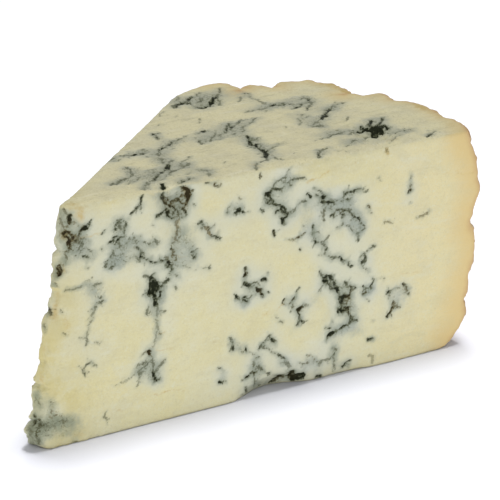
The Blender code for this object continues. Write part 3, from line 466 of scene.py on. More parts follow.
# Soft blue-grey bloom: place, half sizes and strength, in mm
NEAR_BLOOM = (
    (3.5, 44.0, 2.6, 3.2, 0.45), (5.4, 43.2, 2.6, 2.6, 0.6), (1.0, 50.2, 1.6, 2.6, 0.4),
    (-0.7, 44.0, 0.9, 1.4, 0.5), (-1.4, 36.4, 1.0, 1.8, 0.7), (-2.8, 30.8, 0.8, 1.4, 0.8),
    (-3.3, 27.4, 0.8, 1.4, 0.7), (-5.8, 13.0, 1.2, 3.0, 0.8), (-0.2, 39.0, 1.2, 1.6, 0.6),
    (2.2, 46.2, 1.8, 1.6, 0.6), (4.4, 34.6, 4.0, 0.8, 0.6), (13.6, 42.4, 2.4, 1.6, 0.6),
    (21.0, 40.6, 2.2, 1.4, 0.8), (7.6, 40.6, 1.6, 1.4, 0.6), (28.6, 38.0, 3.4, 2.4, 0.4),
    (23.0, 50.8, 1.4, 2.0, 0.4), (72.8, 24.0, 1.6, 1.8, 0.4), (1.6, 41.0, 1.8, 2.4, 0.45),
    (7.6, 33.0, 2.4, 2.0, 0.75), (6.6, 27.5, 1.3, 3.0, 0.4), (12.8, 38.4, 2.1, 2.0, 1.2),
    (14.2, 45.4, 1.8, 2.4, 0.6), (16.4, 41.6, 2.6, 1.4, 0.75), (13.4, 41.4, 1.6, 1.4, 0.6),
    (13.0, 47.0, 2.2, 1.4, 0.4), (21.4, 51.4, 1.4, 2.2, 0.5), (16.4, 38.6, 2.4, 1.2, 0.6),
    (27.6, 42.0, 2.2, 1.8, 0.9), (28.2, 39.4, 2.6, 1.8, 0.7), (27.0, 35.4, 3.4, 2.2, 0.5),
    (74.4, 19.0, 1.6, 1.2, 1.0), (59.6, 4.2, 2.8, 2.6, 0.40), (42.4, 22.4, 1.2, 1.2, 0.7),
    (22.8, 28.8, 1.3, 1.8, 0.7), (60.2, 20.0, 2.6, 2.4, 0.45), (71.0, 9.6, 3.0, 1.8, 0.5),
    (66.4, 41.2, 1.8, 1.0, 0.6), (57.8, 37.6, 1.6, 2.2, 0.35), (-2.4, 9.6, 2.2, 2.2, 0.35),
    (24.6, 46.0, 2.0, 1.2, 0.5), (2.4, 47.8, 3.0, 3.4, 0.3), (2.0, 3.4, 3.4, 2.0, 0.35),
    (18.2, 13.4, 2.0, 1.3, 0.7), (26.4, 49.0, 2.6, 3.0, 0.45), (20.4, 35.6, 3.4, 1.4, 0.4),
    (64.4, 45.0, 3.0, 1.4, 0.25), (18.4, 38.6, 2.4, 1.3, 0.5), (14.6, 40.4, 2.0, 1.4, 0.5),
    (26.4, 47.4, 2.8, 2.6, 1.0), (22.0, 29.2, 2.1, 2.1, 1.0), (21.6, 22.0, 1.2, 4.6, 0.7),
    (20.6, 12.6, 2.6, 3.2, 0.75), (21.4, 25.4, 1.9, 1.4, 0.6), (25.0, 36.4, 1.8, 2.6, 0.45),
    (29.6, 35.4, 2.8, 2.2, 0.4), (32.4, 42.4, 1.9, 1.4, 0.45), (40.2, 45.0, 2.4, 1.5, 0.5),
    (44.4, 26.6, 2.6, 2.4, 0.35), (51.2, 46.0, 3.4, 3.2, 0.6), (54.0, 48.6, 2.6, 1.0, 0.8),
    (52.0, 41.2, 2.2, 2.2, 0.5), (57.4, 41.0, 3.6, 2.8, 0.5), (61.6, 42.2, 2.6, 1.8, 0.6),
    (67.8, 40.4, 3.0, 2.6, 0.85), (70.2, 36.4, 2.2, 2.6, 0.9), (71.6, 34.4, 1.6, 1.8, 0.7),
    (60.4, 35.2, 1.6, 2.6, 0.5), (64.0, 29.2, 3.4, 1.8, 0.35), (63.0, 35.6, 4.0, 3.2, 0.25),
    (84.1, 43.4, 0.9, 2.6, 0.6), (64.0, 23.2, 1.8, 1.8, 0.6), (67.6, 20.2, 2.6, 2.2, 0.65),
    (68.4, 15.8, 2.2, 2.6, 0.6), (67.4, 11.4, 3.2, 1.8, 0.9), (65.2, 6.0, 1.7, 3.2, 0.8),
    (70.6, 14.6, 1.8, 2.2, 0.5), (54.2, 20.6, 2.2, 1.8, 0.4), (56.2, 17.0, 1.6, 2.4, 0.45),
    (48.6, 11.6, 2.4, 1.6, 0.45), (45.4, 7.0, 2.2, 2.2, 0.8), (52.4, 6.6, 2.4, 1.4, 0.4),
    (54.2, 13.4, 1.8, 1.8, 0.4), (45.0, 3.4, 2.2, 1.8, 0.45), (27.8, 29.8, 1.8, 2.2, 0.3),
    (41.2, 13.0, 2.2, 1.8, 0.5), (37.0, 6.8, 1.5, 1.1, 0.5), (82.0, 15.9, 2.6, 2.6, 0.6),
    (74.8, 6.9, 1.6, 0.8, 0.6), (-2.8, 5.9, 5.0, 1.6, 1.2), (-6.8, 5.4, 1.6, 2.8, 1.1),
    (0.4, 4.6, 3.2, 2.4, 0.6), (-4.0, 12.0, 1.6, 2.6, 0.4), (-5.2, 3.2, 3.0, 1.9, 0.55),
    (1.4, 2.6, 3.0, 1.4, 0.25), (39.4, 14.0, 1.6, 1.8, 0.4),
)
TOP_BLOOM = (
    (27.0, 8.4, 5.5, 4.0, 1.0), (33.6, 9.6, 3.0, 2.6, 1.0), (31.6, 14.6, 3.0, 3.4, 0.9),
    (33.0, 19.6, 3.6, 3.2, 0.9), (38.6, 24.4, 3.8, 2.4, 0.9), (36.0, 4.4, 3.0, 3.0, 1.0),
    (22.6, 13.2, 2.4, 3.0, 0.7), (28.0, 21.4, 4.2, 1.6, 0.9), (22.2, 20.6, 1.8, 1.8, 0.8),
    (47.0, 23.4, 4.4, 3.8, 1.0), (53.8, 26.0, 4.6, 4.6, 1.0), (54.0, 18.0, 2.6, 3.8, 1.0),
    (53.4, 10.4, 2.4, 5.8, 0.9), (58.6, 48.4, 6.0, 4.4, 1.0), (56.4, 43.8, 3.4, 3.0, 1.0),
    (64.0, 51.4, 4.0, 4.0, 0.6), (68.6, 42.8, 3.0, 4.6, 0.5), (70.6, 35.6, 8.0, 2.6, 1.0),
    (77.6, 33.6, 4.8, 3.6, 0.75), (73.6, 22.0, 5.0, 4.4, 0.7), (80.6, 27.4, 4.0, 2.8, 0.9),
    (81.0, 10.6, 5.2, 4.2, 1.0), (85.0, 15.4, 3.4, 3.0, 0.9), (73.0, 12.0, 6.4, 2.6, 1.0),
    (72.4, 5.4, 4.4, 2.8, 1.0), (78.0, 2.8, 4.0, 1.8, 0.5), (46.4, 2.6, 2.2, 3.0, 0.6),
    (30.0, 1.6, 3.4, 2.0, 0.9), (19.4, 8.0, 4.4, 2.2, 0.9), (86.0, 5.6, 3.6, 2.0, 0.9),
    (56.6, 12.0, 3.0, 1.4, 0.7), (60.0, 29.0, 4.0, 2.0, 0.7), (72.0, 17.6, 2.4, 2.6, 0.8),
    (37.6, 29.8, 1.6, 2.8, 0.8), (20.6, 2.4, 2.2, 2.4, 0.8), (78.6, 37.6, 4.6, 2.6, 0.6),
    (70.6, 27.0, 3.6, 3.6, 0.6), (66.0, 46.6, 4.0, 4.0, 0.3), (63.0, 3.0, 3.0, 2.6, 0.6),
    (41.0, 36.4, 2.2, 1.8, 0.4), (52.0, 50.6, 3.4, 2.8, 0.9), (89.6, 1.8, 2.2, 1.2, 0.6),
)

# Ochre threads, as strokes, and ochre stains, as places with half sizes and strength. Some threads are
# painted shade in a crease under the top edge, and two stains are painted shade at the rims of a cavity
NEAR_OCHRE_AND_CREASE_SHADE = (
    (0.55, 0.1, (5.2, 45.2, 7.0, 45.0, 9.8, 45.3)),
    (0.55, 0.1, (21.4, 16.8, 23.0, 16.5, 24.9, 16.4)),
    (0.50, 0.1, (22.1, 20.5, 23.5, 20.7)),
    (0.60, 0.0, (20.7, 6.9, 22.3, 6.4, 23.6, 6.7)),
    (0.60, 0.0, (23.6, 6.7, 24.7, 6.9, 25.9, 6.4, 27.9, 5.7)),
    # These four threads run along the crease under the top edge: partly ochre, partly painted shade of
    # the crease
    (0.65, 0.3, (57.6, 47.2, 58.6, 47.7, 59.2, 47.3)),
    (0.55, 0.1, (59.2, 47.6, 60.0, 47.9, 60.8, 47.7, 61.6, 48.6, 62.8, 48.9)),
    (0.32, 0.2, (62.8, 48.9, 66.4, 49.0, 69.7, 49.6)),
    (0.30, 0.2, (69.7, 49.6, 74.0, 50.0, 80.0, 50.1)),
    (0.38, 0.4, (27.1, 44.6, 27.0, 43.4, 26.2, 42.6)),
    (0.30, 0.6, (26.0, 42.0, 25.8, 41.2)),
    (0.50, 0.2, (11.4, 5.3, 13.2, 4.9)),
    (0.70, 0.3, (79.7, 53.3, 77.2, 52.6, 77.75, 50.25)),
    (0.30, 0.3, (82.0, 21.4, 85.4, 20.8, 89.7, 19.8)),
    (0.35, 0.3, (90.5, 43.3, 96.0, 42.4, 101.5, 41.5)),
    (0.60, 0.2, (50.6, 19.9, 52.0, 20.5)),
    (0.45, 0.1, (26.6, 36.9, 28.8, 36.1)),
    (0.60, 0.1, (33.2, 41.9, 33.9, 40.9, 34.4, 39.8)),
)
NEAR_STAINS_AND_RIM_SHADE = (
    (5.2, 49.8, 1.4, 2.2, 0.70), (3.6, 51.9, 2.6, 0.9, 0.5), (-1.1, 30.2, 1.2, 2.4, 0.7),
    (-3.4, 23.0, 1.2, 1.4, 0.45), (-4.7, 16.4, 0.9, 1.6, 0.6), (1.2, 38.9, 0.8, 1.4, 0.6),
    (1.4, 27.0, 1.4, 2.4, 0.45), (-0.4, 34.0, 1.0, 2.0, 0.4), (12.0, 51.4, 4.0, 0.7, 0.35),
    # (29.0, 50.6) is partly an ochre stain, partly painted shade at the cavity's right rim
    (3.6, 2.0, 1.8, 1.0, 0.45), (48.4, 19.2, 2.6, 0.7, 0.50), (29.0, 50.6, 1.2, 2.0, 0.5),
    (96.0, 43.6, 2.6, 2.2, 0.30), (92.0, 37.4, 2.2, 1.1, 0.25), (86.0, 20.8, 4.0, 0.7, 0.40),
    (97.0, 30.0, 2.0, 3.0, 0.22), (94.0, 14.0, 3.0, 2.0, 0.18), (35.2, 15.5, 1.0, 0.7, 0.3),
    (38.4, 16.2, 1.0, 0.7, 0.3), (67.6, 5.3, 1.1, 0.6, 0.4), (1.8, 46.0, 1.3, 1.2, 0.7),
    # (24.6, 49.6) is partly an ochre stain, partly painted shade at the cavity's upper left rim
    (24.6, 49.6, 1.6, 1.4, 0.4), (21.4, 32.6, 0.9, 1.2, 0.3),
)
TOP_STAINS = (
    (4.0, 0.6, 1.8, 1.2, 0.6), (80.0, 44.0, 4.0, 5.0, 0.2), (41.5, 39.5, 2.0, 1.4, 0.35),
    (27.6, 1.0, 2.0, 1.6, 0.3), (80.4, 6.4, 1.6, 1.2, 0.5), (47.8, 27.6, 0.9, 0.7, 0.5),
    (80.6, 2.2, 2.4, 1.4, 0.5), (46.6, 2.4, 1.0, 2.0, 0.5), (88.4, 43.6, 2.0, 2.8, 0.5),
    (82.0, 50.2, 4.0, 1.3, 0.5), (74.6, 52.0, 2.6, 1.4, 0.5), (90.6, 43.4, 1.4, 2.6, 0.6),
    (91.0, 38.0, 1.4, 4.6, 0.8), (92.2, 34.0, 1.4, 1.6, 0.6), (99.2, 18.4, 1.2, 4.6, 0.8),
    (98.6, 11.0, 1.2, 3.0, 0.4), (97.4, 4.4, 2.2, 3.4, 0.5), (95.4, 30.4, 1.6, 1.4, 0.4),
)

# Golden and whitish places in the paste of the near cut: the same, in mm
NEAR_GOLD = (
    (12.0, 51.2, 4.5, 0.9, 0.8), (8.0, 25.0, 4.0, 6.0, 0.5), (12.0, 30.0, 4.0, 3.0, 0.4),
    (0.8, 27.0, 2.0, 4.0, 0.6), (-3.4, 21.0, 1.6, 6.0, 0.6), (44.0, 35.0, 5.0, 3.0, 0.5),
    (37.0, 46.0, 5.0, 3.4, 0.5), (54.0, 31.0, 4.0, 2.5, 0.5), (77.0, 38.0, 4.5, 5.0, 0.7),
    (33.0, 19.0, 6.0, 4.0, 0.35), (12.0, 8.0, 6.0, 4.0, 0.5), (70.0, 46.4, 5.0, 1.6, 0.3),
    (83.0, 8.0, 6.0, 4.0, 0.35), (6.0, 10.0, 5.0, 5.0, 0.5), (29.0, 30.0, 4.0, 3.0, 0.3),
    (5.4, 48.6, 2.4, 2.4, 0.4), (35.0, 48.4, 4.0, 2.6, 0.4), (49.0, 27.0, 3.4, 4.0, 0.6),
    (62.0, 48.6, 5.0, 1.6, 0.4),
)
NEAR_PALE = (
    (51.6, 50.6, 3.4, 1.3, 1.0), (16.0, 49.4, 3.6, 2.4, 0.5), (20.4, 43.4, 4.0, 2.6, 0.7),
    (17.0, 35.0, 5.0, 1.8, 0.6), (24.0, 22.0, 2.4, 5.0, 0.6), (56.0, 45.6, 3.0, 2.2, 0.8),
    (62.0, 37.6, 3.0, 2.6, 0.6), (67.0, 31.6, 4.0, 2.0, 0.5), (29.0, 31.0, 4.0, 2.4, 0.4),
    (50.0, 9.6, 4.0, 3.6, 0.5), (58.6, 19.6, 2.6, 3.0, 0.6), (61.6, 8.0, 3.6, 2.6, 0.5),
    (72.0, 23.6, 3.0, 3.0, 0.4), (88.0, 27.0, 5.0, 4.0, 0.3), (37.0, 8.0, 2.0, 1.6, 0.6),
    (85.0, 46.6, 5.0, 3.0, 0.3),
)

# Places where the near cut's mould turns from grey to olive and brown, two of them partly painted shade
# at the cavity's rims: the same, in mm
NEAR_OLIVE_AND_RIM_SHADE = (
    (26.0, 37.2, 2.0, 2.0, 0.8), (26.5, 42.6, 1.4, 2.6, 1.0), (34.0, 41.0, 2.0, 2.0, 0.7),
    # (29.0, 49.4) and (25.0, 48.6) turn the cavity's rims brown: partly mould, partly painted shade
    (29.0, 49.4, 1.8, 2.8, 1.0), (25.0, 48.6, 2.4, 2.4, 0.5), (2.0, 46.0, 2.6, 2.6, 0.9),
    (0.0, 39.0, 1.6, 1.8, 0.9), (69.2, 17.6, 2.0, 4.0, 0.6), (80.4, 14.0, 2.6, 4.0, 0.7),
    (84.0, 17.2, 1.6, 2.0, 0.6), (52.4, 21.0, 2.4, 1.4, 0.6), (56.4, 19.0, 2.4, 2.4, 0.5),
    (55.6, 35.2, 2.6, 1.0, 0.9), (46.4, 24.6, 1.6, 1.6, 0.6), (42.6, 29.8, 1.2, 1.4, 0.6),
    (49.6, 37.0, 0.8, 1.4, 0.5), (84.2, 40.8, 1.0, 1.2, 0.7), (88.0, 34.2, 2.4, 1.2, 0.8),
    (78.6, 34.2, 2.0, 1.2, 0.8), (19.8, 16.6, 1.4, 1.4, 1.0), (36.0, 50.8, 1.6, 1.2, 0.9),
    (61.0, 52.6, 1.8, 1.4, 0.6), (88.6, 53.0, 1.8, 0.8, 0.5), (8.0, 21.4, 1.2, 1.0, 0.8),
    (25.6, 18.2, 1.0, 1.2, 0.8), (62.0, 39.0, 1.2, 1.6, 0.5), (65.8, 39.0, 2.0, 1.4, 0.4),
    (73.4, 38.4, 1.2, 1.8, 0.8), (44.0, 5.0, 3.0, 3.0, 0.4), (52.0, 3.0, 6.0, 1.6, 0.5),
    (-2.4, 8.0, 1.6, 1.4, 0.5), (59.6, 6.0, 2.4, 1.6, 0.7), (56.2, 32.4, 0.8, 0.8, 0.6),
    (41.4, 46.6, 0.8, 0.8, 0.7), (46.5, 50.8, 0.8, 1.2, 0.6), (72.8, 18.6, 1.2, 1.0, 0.6),
    (75.6, 3.0, 2.0, 1.6, 0.8),
)

# Places where the near cut's haze looks bluish: the same, in mm
NEAR_COOL = (
    (13.0, 38.4, 2.4, 2.2, 1.0), (17.0, 42.2, 3.4, 1.8, 0.5), (58.0, 38.4, 3.0, 4.4, 1.0),
    (64.6, 41.4, 2.6, 1.8, 1.0), (66.6, 40.2, 2.6, 1.8, 1.0), (68.8, 36.4, 3.2, 3.2, 0.9),
    (71.6, 34.4, 1.8, 1.8, 0.9), (74.4, 19.0, 2.0, 1.8, 1.0), (68.4, 11.0, 3.6, 1.8, 1.0),
    (59.2, 4.4, 3.2, 3.4, 0.9), (60.0, 20.0, 2.8, 2.8, 0.8), (44.2, 8.0, 2.4, 3.2, 0.5),
    (52.6, 6.8, 3.2, 2.2, 0.7), (21.8, 29.0, 2.0, 2.4, 0.5), (52.6, 49.6, 2.4, 1.8, 0.5),
    (7.4, 33.0, 2.8, 2.8, 1.0), (5.0, 43.0, 2.0, 2.2, 0.6), (74.0, 25.6, 1.8, 2.4, 0.6),
    (42.4, 22.2, 1.4, 1.4, 0.7), (82.0, 16.0, 2.0, 2.4, 0.5), (28.6, 37.0, 3.0, 2.4, 0.4),
    (36.6, 7.2, 1.4, 1.2, 0.7),
)

# Crumbly places: the same, in mm
NEAR_CRUMBLY = (
    (3.0, 45.0, 4.5, 6.5, 0.9), (26.4, 48.2, 4.2, 4.6, 1.0), (21.6, 30.4, 2.6, 3.2, 0.9),
    (0.0, 30.0, 3.0, 12.0, 0.5), (-3.0, 6.0, 5.0, 5.0, 0.8), (52.5, 3.0, 6.5, 1.8, 0.8),
    (49.4, 46.0, 2.6, 3.2, 0.6), (66.6, 19.0, 2.8, 5.0, 0.6), (13.8, 45.0, 2.6, 3.4, 0.5),
    (46.0, 24.8, 1.4, 1.4, 0.5), (12.0, 38.0, 2.0, 2.0, 0.4), (46.0, 8.0, 3.4, 4.0, 0.5),
)
TOP_CRUMBLY = (
    (26.4, 1.0, 4.6, 3.2, 1.0), (81.4, 10.0, 5.2, 5.0, 1.0), (53.0, 13.0, 3.0, 8.6, 0.7),
    (58.0, 45.2, 6.0, 4.0, 0.9), (75.0, 22.4, 4.6, 3.4, 0.7), (72.0, 36.0, 5.0, 2.4, 0.6),
    (50.6, 1.4, 3.6, 2.4, 0.6), (30.6, 11.4, 3.0, 3.0, 0.5), (3.0, 1.0, 4.0, 2.0, 0.6),
)

# Groups of the near cut's marbling that also stand on the sides that the near view hides:
# the side, the group, where its middle lies in mm, how far it is turned in degrees, and its hand
HIDDEN_STAMPS = (
    ("far", "left", 24.0, 38.0, 15, -1), ("far", "pit", 22.0, 16.0, -20, -1),
    ("far", "band", 44.0, 40.0, 160, 1), ("far", "foot_middle", 41.0, 13.0, 10, -1),
    ("far", "right", 64.0, 36.0, 190, -1), ("far", "diagonal", 60.0, 15.0, 25, -1),
    ("far", "clump", 50.0, 27.0, 60, 1), ("far", "arc", 76.0, 24.0, -10, 1),
    ("far", "rightmost", 84.0, 36.0, 170, 1), ("far", "tip", 8.0, 44.0, 20, -1),
    ("far", "hook", 33.0, 27.0, 80, 1), ("far", "tip_low", 4.0, 20.0, 10, -1),
    # The cavity group brings its painted rim shade to the far cut as well
    ("far", "cavity_and_rim_shade", 36.0, 47.0, 200, 1), ("far", "middle", 76.0, 45.0, 90, 1),
    ("base", "left", 22.0, 12.0, 70, 1), ("base", "right", 44.0, 12.0, 130, -1),
    ("base", "diagonal", 62.0, 24.0, 40, 1), ("base", "band", 46.0, 32.0, 0, -1),
    ("base", "pit", 78.0, 16.0, 100, 1), ("base", "clump", 60.0, 8.0, 20, 1),
    ("base", "foot_middle", 60.0, 44.0, 60, -1), ("base", "arc", 80.0, 38.0, 200, 1),
    ("base", "hook", 34.0, 22.0, 0, 1), ("base", "tip", 6.0, 3.0, 90, 1),
)

# Soft spots that lie on the near cut alone, by the field that they make
NEAR_SPOTS = {"gold": NEAR_GOLD, "pale": NEAR_PALE, "olive": NEAR_OLIVE_AND_RIM_SHADE, "cool": NEAR_COOL}
# How fast a soft spot fades beyond its half sizes
SPOT_FALL = 0.9

# How far a stroke's blurred edge reaches beyond its width, and its bloom and pale veil, in mm
EDGE_REACH = 0.55
BLOOM_REACH = 0.95
VEIL_REACH = 2.45
OCHRE_REACH = 0.32
# How strong a black stroke's bloom and veil are, and how many reaches away they are left out
BLOOM_STRENGTH, VEIL_STRENGTH = 0.5, 0.3
VEIL_MARGIN = 2.2
# How wide a stroke's black core is beside its width, and the power that pales faint ink
CORE_SHARES = {"near": 0.85, "top": 0.90, "far": 0.85, "base": 0.85}
INK_POWERS = {"near": 1.0, "top": 1.4, "far": 1.0, "base": 1.0}
# Twigs: the distance between them along a stroke, their length and width in mm, how far these
# vary, how they turn off and bend in radians, and their draws
TWIG_GAP, TWIG_GAP_SPREAD = 1.6, (0.5, 1.5)
TWIG_LENGTH, TWIG_LENGTH_SPREAD = 1.5, (0.3, 1.0)
TWIG_WIDTH = 0.16
TWIG_INK_SPREAD = (0.45, 0.85)
TWIG_TURN, TWIG_BEND = (0.6, 1.5), (-0.9, 0.9)
TWIG_SEEDS = {"near": 11, "top": 12, "far": 13, "base": 14}
# How the strokes wander: distance between the bends, how far they go, and which ones
VEIN_WANDER = ((0.0026, 0.00018, 3.1), (0.0010, 0.00030, 8.7))
# The seed that these bends are drawn with
WANDER_SEED = 2

# The near cut's paste turns warmer and lighter over this stretch, in mm from the drum's axis
SUNNY_FROM, SUNNY_TO = 66, 92
# How far the crumbled tip is moved towards +X at each height, in mm
TIP_MOVES = (
    (0.0, -0.5), (0.7, 0.1), (1.8, 0.3), (2.7, 0.1), (3.3, -0.8), (4.2, -1.1), (5.0, -0.7), (5.4, 1.0),
    (6.0, 0.9), (6.8, -0.2), (7.8, -0.2), (8.8, -0.4), (10.4, -0.3), (11.2, -0.7), (12.2, -0.5),
    (13.4, -0.4), (13.9, 0.9), (14.6, 0.7), (15.3, -0.4), (17.2, -0.6), (17.9, -0.9), (18.6, -0.4),
    (19.2, -0.7), (20.4, -0.6), (22.0, -0.3), (24.5, 0.0), (28.2, -0.8), (29.6, 0.4), (31.2, 0.3),
    (32.5, -0.1), (34.8, -0.5), (36.1, -0.2), (36.8, -0.5), (37.8, 0.5), (39.1, 0.0), (40.3, -0.8),
    (41.6, -1.4), (42.6, 0.1), (43.6, -0.3), (44.6, -0.6), (46.0, -0.2), (48.0, -0.5), (52.0, -0.4),
)
# How far from the tip these moves fade, and where they end
TIP_MOVE_REACH, TIP_MOVE_END = 0.005, 0.015
# Where along the near cut the tip's own tints are full, and where they end, in mm
TIP_TINTS = (-2, 10)
# How crumbly all of the tip is
TIP_CRUMBLY = 0.8
# The lowest millimetres of the mesh are pressed down, so that its foot isn't rounded
FOOT_PRESS, FOOT_HEIGHT = 0.0006, 0.0026
# How far the rind's tan reaches into the paste
RIPE_REACH = 0.012
# Nicks and bumps of the rind's upper rim: place and half size on the top, and how far they move, in mm
RIM_NICKS = (
    (69.0, 55.8, 1.0, 0.5, 0.6), (70.3, 53.4, 1.0, 0.0, -3.0), (74.2, 52.4, 1.2, 0.2, 1.2),
    (77.2, 50.4, 1.1, 0.0, -3.4), (82.6, 51.0, 2.2, 0.0, 0.9), (87.2, 48.4, 1.4, 0.3, 0.8),
    (90.2, 44.2, 1.5, 0.5, 0.7), (91.6, 35.9, 0.9, -2.0, 0.1), (92.4, 33.6, 0.8, 0.1, -0.6),
    (95.6, 31.2, 1.5, 0.3, 1.2), (96.6, 26.4, 1.0, -0.6, 0.2), (98.0, 24.6, 1.0, -0.3, 0.3),
)
# How far under the top the nicks begin to fade, and how fast they do
RIM_NICK_TOP, RIM_NICK_DEPTH = 0.002, 0.018
# Swells of the rind at its near edge: height, half height and how far out, in mm
RIND_SWELLS = ((37.0, 3.4, 0.7), (23.0, 4.4, 0.8), (30.2, 1.6, -0.4), (8.4, 1.6, 0.5), (3.2, 1.6, -0.6))
# How far round the rind from the near cut they reach
RIND_SWELL_DEPTH = 0.012
# The radius where nicks and swells begin, and how much farther out the swells are full
RIND_ZONE, RIND_ZONE_FADE = 0.080, 0.016
# The edge between the near cut and the top is rounded more towards the rind: where, and the radii
TOP_EDGE_START, TOP_EDGE_FROM, TOP_EDGE_TO = 0.003, 0.055, 0.082
TOP_EDGE_ROUND_LOW, TOP_EDGE_ROUND_HIGH = 0.0012, 0.0022
# How close together the solid's loose points are joined
JOIN_DISTANCE = 1e-6
# The even mesh is smoothed this much, and divided once more where it faces the near side or up
SMOOTH_FACTOR, SMOOTH_ROUNDS = 0.5, 3
FINE_NEAR_FACING, FINE_TOP_FACING = 0.45, 0.6
# More triangles than this in the wedge would be thinned by the export
TRIANGLE_LIMIT = 199_000
# Least squared length and least radius that a value is divided by, in mm
LEAST_SQUARE, LEAST_RADIUS = 1e-9, 1e-6

# How sharply a point at an edge goes to one face or the other, how much its facing counts, and
# the depth in mm that counts as much
FACE_SHARPNESS = 3.0
FACING_WEIGHT, DEPTH_FADE = 1.6, 1.5
# The rind's points face outwards this squarely and lie at these radii, in mm
RIND_FACING, RIND_RADII = (0.35, 0.75), (82, 90)
# The tip's points face this way this squarely, and lie at these radii, in mm
TIP_SIGHT, TIP_FACING, TIP_RADII = (-0.94, -0.34, 0.9), (0.5, 0.8), (10, 16)
# Its foot's points lie at these radii and heights on every side, in mm
TIP_FOOT_RADII, TIP_FOOT_HEIGHTS = (8, 13), (12, 16)
# Level places below these heights belong to the near cut, and the base ends at these, in mm
LEDGE_HEIGHTS, BASE_HEIGHTS = (34, 42), (0.2, 1.0)

# Linear colours
PASTE = (0.735, 0.700, 0.452)
PASTE_WARM = (0.745, 0.690, 0.392)
PASTE_PALE = (0.735, 0.722, 0.535)
PASTE_WHITE = (0.745, 0.745, 0.580)
PASTE_GOLD = (0.750, 0.670, 0.335)
PASTE_SHADE = (0.600, 0.560, 0.360)
PASTE_SUNNY = (0.785, 0.700, 0.395)
TOP_PASTE = (0.790, 0.735, 0.462)
TOP_DULL = (0.682, 0.642, 0.432)
TOP_LIGHT = (0.850, 0.815, 0.605)
TOP_SHADE = (0.490, 0.460, 0.290)
TIP_YELLOW = (0.620, 0.530, 0.210)
RIM_TAN = (0.755, 0.575, 0.255)
RIND_BROWN = (0.560, 0.360, 0.170)
RIND_ORANGE = (0.625, 0.415, 0.200)
RIND_GREY = (0.560, 0.520, 0.400)
RIND_DARK = (0.240, 0.160, 0.080)
VEIL_GREY = (0.650, 0.665, 0.525)
BLOOM_GREY = (0.370, 0.402, 0.315)
BLOOM_COOL = (0.350, 0.392, 0.325)
TIP_BLOOM_GREY = (0.262, 0.290, 0.190)
VEIL_COOL = (0.585, 0.615, 0.545)
TOP_BLOOM_GREY = (0.410, 0.428, 0.345)
SMOKE_GREY = (0.250, 0.275, 0.190)
MOULD_GREY = (0.108, 0.117, 0.058)
MOULD_BLACK = (0.013, 0.017, 0.005)
MOULD_OLIVE = (0.150, 0.110, 0.030)
MOULD_BROWN_AND_RIM_SHADE = (0.045, 0.028, 0.007)
OCHRE_AND_PAINTED_SHADE = (0.590, 0.440, 0.165)

# The inputs of the relief and the setting that each one takes
RELIEF_INPUTS = {
    "Crumb depth": "crumb_depth",
    "Crumb spacing": "crumb_spacing",
    "Crag depth": "crag_depth",
    "Crag spacing": "crag_spacing",
    "Smear depth": "smear_depth",
    "Smear spacing": "smear_spacing",
    "Paste depth": "paste_depth",
    "Pit depth": "pit_depth",
    "Seed": "seed",
}
# The wire's smears on the top run almost along the near cut and are drawn out that way
SMEAR_TURN = math.radians(4)
SMEAR_STRETCH = (0.22, 1.0, 1.0)
# The relief's noises: how much finer detail they have, how rough it is, and which draw they are
RELIEF_NOISES = {
    "crumbs": (3.0, 0.60, 1.0),
    "crags": (4.0, 0.62, 2.0),
    "cracks": (2.0, 0.50, 3.0),
    "smears": (3.0, 0.60, 4.0),
    "swells": (3.0, 0.50, 5.0),
    "ripples": (2.0, 0.50, 6.0),
    "ragged": (2.0, 0.50, 7.0),
    "mealy": (2.0, 0.50, 8.0),
}
# The rind's cracks: how much wider apart than its crags, how wide and how deep
CRACK_STRETCH, CRACK_WIDTH, CRACK_DEPTH = 1.6, 0.10, 0.5
# Distance between the cuts' swells and ripples, and how high the ripples are beside the swells
SWELL_SPACING, RIPPLE_SPACING, RIPPLE_SHARE = 0.0052, 0.0012, 0.5
# Distance between the haze's mealy grains, and how high they are beside the crumbs
MEALY_SPACING, MEALY_SHARE = 0.0014, 0.4
# Distance between the rags of a pit's edge, and how much they shift the edge
RAGGED_SPACING, RAGGED_SHARE = 0.0009, 0.175
# How near to a vein's core a pit starts, and how near it is as deep as it gets
PIT_EDGE = (0.42, 0.75)

# The material's noises: distance between their swells, how much finer detail they have, how
# rough it is, which draw they are, and how lumpy
MATERIAL_NOISES = {
    "broad": (0.016, 2.0, 0.5, 1.0, 0.0),
    "patchy": (0.0045, 3.0, 0.55, 2.0, 0.0),
    "grain": (0.00062, 3.0, 0.6, 3.0, 0.0),
    "clots": (0.0017, 2.0, 0.5, 4.0, 0.0),
    "fine": (0.00035, 2.0, 0.5, 5.0, 0.0),
    "loops": (0.0016, 2.0, 0.5, 6.0, 1.2),
    "strands": (0.0030, 3.0, 0.6, 7.0, 0.8),
    "streaky": (0.0015, 4.0, 0.65, 8.0, 0.0),
}
# The fields stored on the wedge's points that the material reads
MATERIAL_FIELDS = (
    "vein", "dark", "bloom", "veil", "top", "rind", "ripe", "ochre", "crumbly", "tip", "gold", "pale",
    "olive", "cool", "sunny",
)
